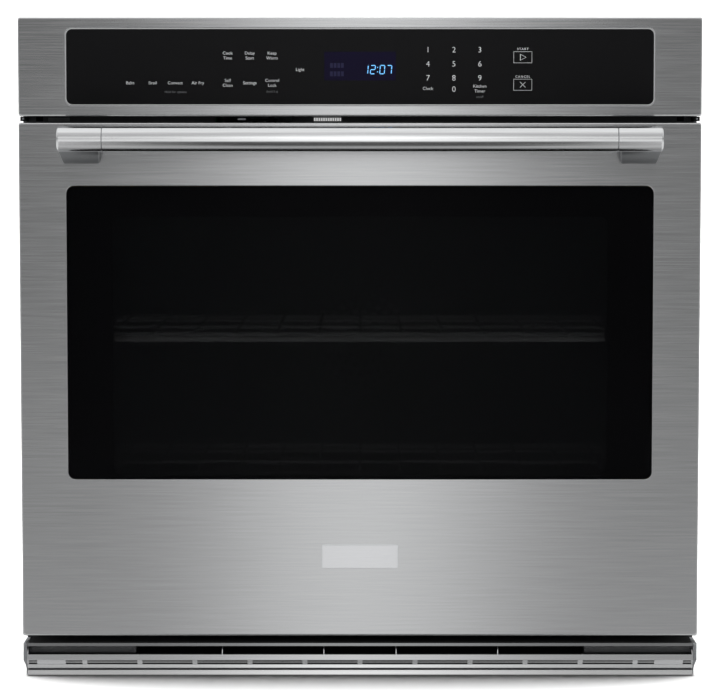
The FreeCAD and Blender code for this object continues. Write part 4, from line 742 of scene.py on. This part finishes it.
CLOCK_Z = 650.4 * MM
FIGURE_X = (6.3, 14.2, 24.6, 32.3)
DOT_X, DOT_HALF, DOT_RISE = 19.4 * MM, 0.55 * MM, 2.4 * MM
clock = []
for figure, x in zip("1207", FIGURE_X):
    clock += segment_digit(figure, x * MM, CLOCK_Z)
for dz in (-DOT_RISE, DOT_RISE):
    clock.append(bar_2d(DOT_X - DOT_HALF, DOT_X + DOT_HALF, CLOCK_Z + dz - DOT_HALF,
                        CLOCK_Z + dz + DOT_HALF, lift=0.02 * MM))
piece("clock_digits", clock, "chassis", ink("sky_blue_display_light", "#6db6f0", 0.85))
# The signs stand in two rows of four, left of the digits.
SIGN_HALF, SIGN_TALL = 1.5 * MM, 2.6 * MM
signs = []
for i in range(8):
    x, z = (-31.5 + 4.0 * (i % 4)) * MM, CLOCK_Z + (4.6 - 9.2 * (i // 4)) * MM
    signs.append(bar_2d(x - SIGN_HALF, x + SIGN_HALF, z - SIGN_TALL, z + SIGN_TALL))
faint_blue = ink("faint_blue_display_light", "#0d0a38", 0.04)
piece("display_signs", signs, "chassis", faint_blue)


# ---------------------------------------------------------------------------------------------
# Handle. A turned bar of polished, lengthways-brushed stainless tube between two end pieces, each
# with a rounded cap and a leg that comes down to the door; screws hold the legs from inside.
bar_low, bar_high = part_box("handle_bar")
bracket_low, bracket_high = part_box("handle_brackets")
bar_r = (bar_high.z - bar_low.z) / 2
bar_y, bar_z = (bar_low.y + bar_high.y) / 2, (bar_low.z + bar_high.z) / 2
BAR_ROUND = 96


def turned(profile):
    """A shape turned round the handle's axis: profile is (x, radius) from end to end."""
    a = np.linspace(0, 2 * math.pi, BAR_ROUND, endpoint=False)
    return solid([np.stack([np.full(BAR_ROUND, x), bar_y + r * np.cos(a), bar_z + r * np.sin(a)], axis=1)
                  for x, r in profile])


handle_steel = brushed_steel("brushed_handle_steel", "#d2d3d4", 0.13, 0.7, 60)
EDGE = 0.5 * MM
stops = np.linspace(-bar_high.x + EDGE * 3, bar_high.x - EDGE * 3, 13)
profile = [(-bar_high.x, bar_r - EDGE), (-bar_high.x + EDGE, bar_r)] + [(x, bar_r) for x in stops]
profile += [(bar_high.x - EDGE, bar_r), (bar_high.x, bar_r - EDGE)]
piece("handle_tube", [turned(profile)], "door", handle_steel, 30, ["handle_bar"])
SEAM_X = bar_high.x + 0.3 * MM
CAP_ROUND = 2.2 * MM
LEG_IN, LEG_IN_TAPER = 7.1, 3.3
LEG_OUT, LEG_OUT_TAPER = 1.8, 1.3
LEG_SHORT, LEG_RADIUS, LEG_FOOT = 1.5 * MM, 1.4 * MM, 0.6 * MM
ends, legs = [], []
for side in (1, -1):
    turn = np.linspace(0, math.pi / 2, 7)
    cap = [(SEAM_X, bar_r - EDGE), (SEAM_X + EDGE, bar_r), (SEAM_X + 3 * EDGE, bar_r),
           (bracket_high.x - CAP_ROUND * 1.4, bar_r)]
    cap += [(bracket_high.x - CAP_ROUND * (1 - math.sin(t)), bar_r - CAP_ROUND * (1 - math.cos(t)))
            for t in turn]
    ends.append(turned([(side * x, r) for x, r in cap]))
    rings = []
    for share in np.linspace(0, 1, 9):
        y = face_low.y + share * (bar_y - face_low.y)
        low = bracket_low.z + share * (bar_low.z + LEG_SHORT - bracket_low.z)
        high = bar_high.z - LEG_SHORT
        leg_in = SEAM_X + (LEG_IN - LEG_IN_TAPER * share) * MM
        leg_out = bracket_high.x - (LEG_OUT - LEG_OUT_TAPER * share) * MM
        half, middle = (leg_out - leg_in) / 2, (leg_out + leg_in) / 2
        foot = LEG_FOOT * max(0.0, 1 - share * 16)
        shape = outline(half - foot, low + foot, high - foot, LEG_RADIUS)
        rings.append(ring(shape + np.array([side * middle, 0]), y))
    legs.append(solid(rings))
# The legs are drawn in a much darker steel than the caps and bar: painted shade on their sloping
# undersides.
leg_steel_painted_shade = brushed_steel("dark_leg_steel_painted_shade", "#808284", 0.3, 0.6, 5)
piece("handle_legs", legs, "door", leg_steel_painted_shade, 40)
piece("handle_end_pieces", ends, "door", handle_steel, 40, ["handle_brackets"])
# A wide soft panel in front lights the bar and its end pieces alone, and they mirror it, so that
# they stand out from the door.
handle_light = soft_light("handle_panel", (0, -1.6, 0.55), (0, bar_y, 0.55), width=1.5, height=0.92,
                          watts=2.6)
handle_light.visible_glossy = True
handle_light.visible_camera = False
lit = bpy.data.collections.new("lit_by_handle_panel")
for name in ("handle_tube", "handle_end_pieces"):
    lit.objects.link(bpy.data.objects[name])
handle_light.light_linking.receiver_collection = lit
# The handle throws no shadow from the overhead light, so the floor's shadow keeps one soft edge.
no_shade = bpy.data.collections.new("handle_without_floor_shadow")
for name in ("handle_tube", "handle_end_pieces", "handle_legs"):
    no_shade.objects.link(bpy.data.objects[name])
for entry in no_shade.collection_objects:
    entry.light_linking.link_state = "EXCLUDE"
overhead.light_linking.blocker_collection = no_shade


# ---------------------------------------------------------------------------------------------
# Nameplate under the window: a small blank plate, brushed, with a bright raised border.
plate_low, plate_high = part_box("nameplate")
plate_satin = brushed_steel("satin_nameplate", "#e4e5e7", 0.2, 0.5, 20)
plate_r, border, chamfer = 2.5 * MM, 0.7 * MM, 0.3 * MM
px, pz0, pz1 = plate_high.x, plate_low.z, plate_high.z
levels = [(0.0, plate_high.y), (0.0, plate_low.y + chamfer), (chamfer, plate_low.y),
          (border, plate_low.y), (border + 0.25 * MM, plate_low.y + chamfer)]
plate_rings = [ring(outline(px - g, pz0 + g, pz1 - g, plate_r - g), y) for g, y in levels]
piece("blank_nameplate", [solid(plate_rings)], "door", plate_satin, 30, ["nameplate"])


# ---------------------------------------------------------------------------------------------
# Bottom vent trim. Folded from brushed stainless: a top lip, a dark recess where the cooling air
# leaves, with upright ribs in it, a front bar, a slope with a row of slots, and a tray. Moulded
# ends close it.
trim_low, trim_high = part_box("bottom_trim_face")
LIP, SHEET = 3.4 * MM, 1.2 * MM
BAR_TOP, BAR_FOOT = -2.2 * MM, -8.3 * MM
LOW_LIP_TOP, LOW_LIP_FOOT, GROOVE_FOOT = -14.3 * MM, -18.0 * MM, -20.5 * MM
SETBACK, GROOVE, FLANGE = 4 * MM, 5 * MM, 15.7 * MM
TAB_PITCH, TAB_HALF = 61.7 * MM, 2.75 * MM
SLOT_END, BLANK_END, END_SLOT = 330 * MM, 362 * MM, 371.5 * MM
LEAF = 2 * MM
RIB_X, RIB_HALF = (40.5 * MM, 154.4 * MM), 0.5 * MM


def prism(profile, x0, x1):
    """A closed (y, z) outline carried along X from x0 to x1."""
    profile = np.array(profile)
    return solid([np.stack([np.full(len(profile), x), profile[:, 0], profile[:, 1]], axis=1)
                  for x in (x0, x1)])


half = trim_high.x
yf, yb = trim_low.y, trim_high.y
yl = yf + SETBACK
lip_y = yf + LEAF
top = trim_high.z
lip = [prism([(lip_y, top - LIP), (lip_y + SHEET, top - LIP), (lip_y + SHEET, top - SHEET),
              (yb, top - SHEET), (yb, top), (lip_y, top)], -half, half)]
trim = [prism([(yf, BAR_TOP), (yf + LEAF, BAR_TOP), (yf + LEAF, BAR_FOOT), (yf, BAR_FOOT)], -half, half)]
foot, inner = trim_low.z, yl + GROOVE
tray = [prism([(yl, LOW_LIP_TOP), (yl + LEAF, LOW_LIP_TOP), (yl + LEAF, LOW_LIP_FOOT + SHEET),
               (inner + SHEET, LOW_LIP_FOOT + SHEET), (inner + SHEET, foot + SHEET),
               (yb - SHEET, foot + SHEET), (yb - SHEET, foot + FLANGE), (yb, foot + FLANGE), (yb, foot),
               (yl, foot), (yl, GROOVE_FOOT), (inner, GROOVE_FOOT), (inner, LOW_LIP_FOOT),
               (yl, LOW_LIP_FOOT)], -half, half)]


def slope(share, lift):
    """A point down the slotted slope, share of the way from bar to lip, lift behind its face."""
    return yf + share * SETBACK + lift, BAR_FOOT + share * (LOW_LIP_TOP - BAR_FOOT)


def slope_strip(top_share, foot_share, x0, x1, lift=0.0):
    """A piece of the slope from x0 to x1, between two shares of its way down."""
    return prism([slope(top_share, lift), slope(top_share, LEAF), slope(foot_share, LEAF),
                  slope(foot_share, lift)], x0, x1)


tabs = [i * TAB_PITCH for i in range(-5, 6)]
strips = [(x - TAB_HALF, x + TAB_HALF) for x in tabs]
strips += [(SLOT_END, BLANK_END), (-BLANK_END, -SLOT_END), (END_SLOT, half), (-half, -END_SLOT)]
for x0, x1 in strips:
    trim.append(slope_strip(0.10, 0.98, x0, x1))
for top_share, foot_share in ((0.0, 0.12), (0.37, 0.56), (0.9, 1.0)):
    trim.append(slope_strip(top_share, foot_share, -half, half, 0.05 * MM))
rib_foot = BAR_TOP - 0.5 * MM
rib = [(yf + MM, rib_foot), (yf + 24 * MM, rib_foot), (yf + 24 * MM, top - SHEET),
       (yf + 9 * MM, top - SHEET)]
for x in (*RIB_X, half - 0.7 * MM):
    for side in (1, -1):
        trim.append(prism(rib, side * x - RIB_HALF, side * x + RIB_HALF))
trim_steel = brushed_steel("brushed_trim_steel", "#d0d1d2", 0.16, 0.9, 90)
piece("vent_trim", trim, "chassis", trim_steel, 30, ["bottom_trim_face"], bevel=0.18 * MM)
# The lip is drawn in a darker steel and the tray in a brighter one than the rest of the trim: painted shade
# on the lip, a painted highlight on the tray.
piece("vent_top_lip", lip, "chassis", brushed_steel("lip_steel_painted_shade", "#98999a", 0.16, 0.9, 90), 30,
      bevel=0.18 * MM)
piece("vent_tray", tray, "chassis", brushed_steel("tray_steel_painted_highlight", "#f0f1f2", 0.16, 0.9, 90), 30,
      bevel=0.18 * MM)


# ---------------------------------------------------------------------------------------------
# Painted, coated and moulded pieces that keep the shape they were modelled with. One function
# lays two tones of a surface over each other at the size of its real grain.
SPREAD = 0.15


def surface(name, colour, second, grain_mm, rough, metal=0.0, bump=0.0, stretch=(1, 1, 1), kind="noise",
            **more):
    """A Principled surface of two tones; grain_mm is the width of one speck or crystal."""
    made, tree, shader = material(name, Metallic=metal, **more)
    place = node(tree, "ShaderNodeTexCoord")
    scale = tuple(s / (grain_mm * MM) for s in stretch)
    fit = node(tree, "ShaderNodeMapping", {"Vector": place.outputs["Object"], "Scale": scale})
    if kind == "crystal":
        grain = node(tree, "ShaderNodeTexVoronoi", {"Vector": fit.outputs[0], "Scale": 1.0})
        level = grain.outputs["Color"]
    else:
        grain = node(tree, "ShaderNodeTexNoise", {"Vector": fit.outputs[0], "Scale": 1.0, "Detail": 4.0})
        level = grain.outputs["Fac"]
    amount = node(tree, "ShaderNodeMapRange", {"Value": level, "From Min": 0.35, "From Max": 0.65})
    tone = node(tree, "ShaderNodeMix", {"Factor": amount.outputs[0]}, data_type="RGBA")
    tone.inputs[6].default_value = hex_colour(colour)
    tone.inputs[7].default_value = hex_colour(second)
    tree.links.new(tone.outputs[2], shader.inputs["Base Color"])
    spread = node(tree, "ShaderNodeMapRange", {"Value": level, "To Min": rough * (1 - SPREAD),
                                               "To Max": rough * (1 + SPREAD)})
    tree.links.new(spread.outputs[0], shader.inputs["Roughness"])
    if bump:
        relief = node(tree, "ShaderNodeBump", {"Height": level, "Strength": 0.4, "Distance": bump * MM})
        tree.links.new(relief.outputs[0], shader.inputs["Normal"])
    return made


# Hot-dip galvanised sheet: zinc crystals a few millimetres across, some duller than others.
galvanised = surface("galvanised_sheet", "#a7acb0", "#b3b8bc", 6, 0.4, metal=1.0, kind="crystal")
dress(["base_pan", "left_side_panel", "right_side_panel", "back_panel", "top_panel", "component_deck",
       "base_air_plenum", "rear_air_duct", "junction_box", "cooling_blower_housing",
       "lamp_housing"], galvanised)
# Grey baked paint on the front frame, and a darker one on the vent's blanking plates.
frame_paint = surface("dark_grey_baked_paint", "#5a5b5d", "#636466", 0.8, 0.5, bump=0.01)
dress(["front_frame"], frame_paint)
dress(["bottom_trim_baffles"], surface("black_baked_paint", "#4a4b4d", "#565759", 0.8, 0.55, bump=0.01))
# Vitreous enamel, nearly black with fine blue-grey specks, glossy and a little wavy.
enamel = surface("speckled_vitreous_enamel", "#10131a", "#1a1f29", 0.7, 0.22, bump=0.02, Coat_Weight=0.4)
dress(["oven_cavity", "door_inner_liner", "fan_cover"], enamel)
# Mineral wool: yellow-brown fibres lying flat in the batt.
wool = surface("mineral_wool", "#b59f63", "#8f7b45", 1.6, 0.95, bump=1.2, stretch=(1, 1, 4))
dress(["insulation_wrap", "door_insulation"], wool)
# Woven glass-fibre sleeve: fine braid, so a small dark and pale check.
dress(["door_gasket"],
      surface("woven_glass_fibre", "#4a4b4d", "#77787a", 1.1, 0.9, bump=0.4, kind="crystal"))
# Heater sheath: dark oxidised alloy with browner patches.
sheath = surface("oxidised_heater_sheath", "#3b3937", "#4d4641", 9, 0.5, metal=0.85)
dress(["broil_element", "bake_element", "convection_element"], sheath)
# Nickel-chrome plate on drawn wire and on the probe: satin from baking, with faint marks.
plated = surface("satin_plated_wire", "#b9bbbd", "#cbcccd", 3, 0.4, metal=0.3)
dress(["rack_upper", "rack_lower", "temperature_probe"], plated)
# Aluminised steel for the fans and the spacer frame: silvery, matt, a soft mottle.
dress(["convection_fan_blade", "cooling_fan_wheel", "window_pack_frame"],
      surface("aluminised_steel", "#a3a5a6", "#b4b6b7", 4, 0.4, metal=1.0))
# Zinc-plated steel with a cool tint for hinges, hook, screws and gland.
zinc = surface("zinc_plated_steel", "#a9adb3", "#bfc2c6", 2, 0.33, metal=1.0)
dress(["hinge_arms", "hinge_channels", "hinge_pins", "hinge_springs", "hinge_receivers",
       "chassis_screws", "handle_screws", "conduit_connector"], zinc)
# Black phosphate on the latch's hook and plate: dark, matt and slightly grainy.
dress(["latch_hook", "latch_plate"],
      surface("black_phosphate_steel", "#252628", "#313234", 1, 0.5, metal=0.5))
# Cast motor bodies, then black, white and grey moulded plastic.
dress(["convection_motor", "cooling_motor", "latch_motor"],
      surface("motor_casting", "#4a4c4f", "#606265", 2, 0.5, metal=0.6, bump=0.05))
black_plastic = surface("black_moulded_plastic", "#151516", "#1d1d1e", 0.5, 0.5, bump=0.01)
dress(["control_tray", "display_module", "door_switch_body"], black_plastic)
dress(["door_switch_plunger"], surface("white_moulded_plastic", "#d8d8d4", "#e2e2de", 0.5, 0.45))
dress(["bottom_trim_end_caps"], surface("grey_moulded_end", "#707274", "#7c7e80", 0.5, 0.45, bump=0.01))
# Green circuit board with solder resist over copper.
dress(["user_interface_board", "relay_board"],
      surface("green_circuit_board", "#1e5a38", "#2f7a4a", 3, 0.4, kind="crystal"))


# ---------------------------------------------------------------------------------------------
# Fixings, labels, foam and painted shade: blank labels, foam blocks, a thin dark sheet of painted
# shade beside each, two bright tabs and small screws on the frame in the gap, dark sheets and a
# grey strip of painted shade in the vent, pan-head screws on the casing, and the screws that hold
# the door's inner liner.
frame_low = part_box("front_frame")[0]
gap_z = (face_high.z + panel_low.z) / 2


def plate(x0, x1, y0, y1, z0, z1):
    """A plain flat box."""
    corners = np.array([[x0, z0], [x1, z0], [x1, z1], [x0, z1]])
    return solid([ring(corners, y1), ring(corners, y0)])


label_y = frame_low.y
pale_label = surface("pale_foil_label", "#a6a9ac", "#b6b9bc", 5, 0.5)
label = plate(-349 * MM, -325 * MM, label_y - 0.2 * MM, label_y, gap_z - 2.1 * MM, gap_z + 2.3 * MM)
piece("blank_label", [label], "chassis", pale_label)
# The white label glows a little: painted light, so that it reads bright in the shaded gap.
white_label_painted_glow = surface("white_paper_label_painted_glow", "#f2f2f0", "#fafaf8", 3, 0.7, Emission_Strength=0.55,
                      Emission_Color=hex_colour("#ffffff"))
BAR_WIDE, BAR_PITCH = 1.7, 2.6
bars = []
for x in np.arange(-51.5, -22.0, BAR_PITCH):
    bars.append(plate(x * MM, (x + BAR_WIDE) * MM, label_y - 1.2 * MM, label_y - 1.0 * MM, gap_z - 1.6 * MM,
                      gap_z + 2.0 * MM))
piece("white_blank_label", bars, "chassis", white_label_painted_glow)
# Black foam blocks close the ends of the gap; the thin black sheet beside each lies on the frame as painted
# shade.
foam = surface("black_foam_and_painted_shade", "#0c0c0d", "#141415", 1.2, 0.9, bump=0.2)
blocks = []
for side in (1, -1):
    for x, wide, deep in ((374.0, 3.5, 27.0), (358.6, 3.9, 1.0)):
        blocks.append(plate((side * x - wide) * MM, (side * x + wide) * MM, label_y - deep * MM, label_y,
                            gap_z - 1.8 * MM, gap_z + 3.2 * MM))
# Thin sheets of the same black lie in the vent, behind the slots, at the back of the recess and on its top
# leaf: painted shade that darkens the recess.
blocks.append(plate(-END_SLOT, END_SLOT, yf + 6.2 * MM, yf + 7.2 * MM, LOW_LIP_TOP, BAR_TOP - 0.3 * MM))
blocks.append(plate(-251 * MM, 251 * MM, yf + 34 * MM, yf + 35 * MM, BAR_TOP - 9 * MM, top - 1.5 * SHEET))
blocks.append(plate(-END_SLOT, END_SLOT, yf + 3.4 * MM, yb - MM, top + 0.02 * MM, top + 0.5 * MM))
# A grey strip in the vent's groove is painted shade that darkens the groove's back wall.
groove_shade_strip = plate(-half + MM, half - MM, inner - 0.6 * MM, inner - 0.05 * MM, GROOVE_FOOT + 0.05 * MM,
                     LOW_LIP_FOOT - 0.05 * MM)
groove_shade_grey = surface("grey_groove_painted_shade", "#6a6c6f", "#747679", 2, 0.6)
piece("vent_sealing_strip", [groove_shade_strip], "chassis", groove_shade_grey)
piece("gap_foam_blocks", blocks, "chassis", foam, bevel=0.3 * MM)
TAB_LEFT_X, GAP_TAB_WIDE = (-137.0, -73.0), 9
gap_tabs = []
for x in TAB_LEFT_X:
    gap_tabs.append(plate(x * MM, (x + GAP_TAB_WIDE) * MM, label_y + 2.2 * MM, label_y + 3.2 * MM,
                          gap_z - 0.4 * MM, gap_z + 1.4 * MM))


def screw_head(centre, axis, radius, tall, sides=28):
    """Pan head with a cross recess left as a shallow dish: rings shrinking along the axis."""
    axis = np.array(axis, float)
    u = np.array([1.0, 0, 0]) if abs(axis[0]) < 0.5 else np.array([0, 1.0, 0])
    w = np.cross(axis, u)
    a = np.linspace(0, 2 * math.pi, sides, endpoint=False)
    rings = []
    for r, h in ((1.0, 0.0), (1.0, 0.35), (0.9, 0.75), (0.66, 1.0), (0.42, 1.0), (0.3, 0.6), (0.12, 0.45)):
        circle = np.cos(a)[:, None] * u + np.sin(a)[:, None] * w
        rings.append(np.array(centre) + circle * radius * r + axis * tall * h)
    return solid(rings)


gap_screws = []
for side in (1, -1):
    place = (side * 374.0 * MM, label_y - 27 * MM, gap_z + 0.8 * MM)
    gap_screws.append(screw_head(place, (0, -1, 0), 1.2 * MM, 0.9 * MM))
CASING_HEAD = (4.2 * MM, 2.4 * MM)
FOLD_IN, TOP_IN = 14 * MM, 12 * MM
casing = []
side_low, side_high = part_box("right_side_panel")
for side in (1, -1):
    for y in np.linspace(side_low.y + FOLD_IN, side_high.y - FOLD_IN, 6):
        for z in (FOLD_IN, side_high.z - TOP_IN):
            casing.append(screw_head((side * side_high.x, y, z), (side, 0, 0), *CASING_HEAD))
    for z in np.linspace(130 * MM, side_high.z - 110 * MM, 4):
        place = (side * side_high.x, side_high.y - FOLD_IN, z)
        casing.append(screw_head(place, (side, 0, 0), *CASING_HEAD))
for x in np.linspace(-330 * MM, 330 * MM, 7):
    for y in (side_low.y + TOP_IN, side_high.y - TOP_IN):
        casing.append(screw_head((x, y, side_high.z), (0, 0, 1), *CASING_HEAD))
piece("casing_screws", gap_screws + casing + gap_tabs, "chassis", zinc, 35)

LINER_HEAD = (3.6 * MM, 1.6 * MM)
PLUG_DEPTH = 14 * MM
liner_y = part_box("door_inner_liner")[1].y - PLUG_DEPTH
liner_screws = []
for x in np.linspace(-345 * MM, 345 * MM, 7):
    liner_screws.append(screw_head((x, liner_y, face_high.z - FOLD_IN), (0, 1, 0), *LINER_HEAD))
for side in (1, -1):
    for z in np.linspace(270 * MM, 530 * MM, 3):
        liner_screws.append(screw_head((side * 360 * MM, liner_y, z), (0, 1, 0), *LINER_HEAD))
piece("liner_screws", liner_screws, "door", zinc, 35)
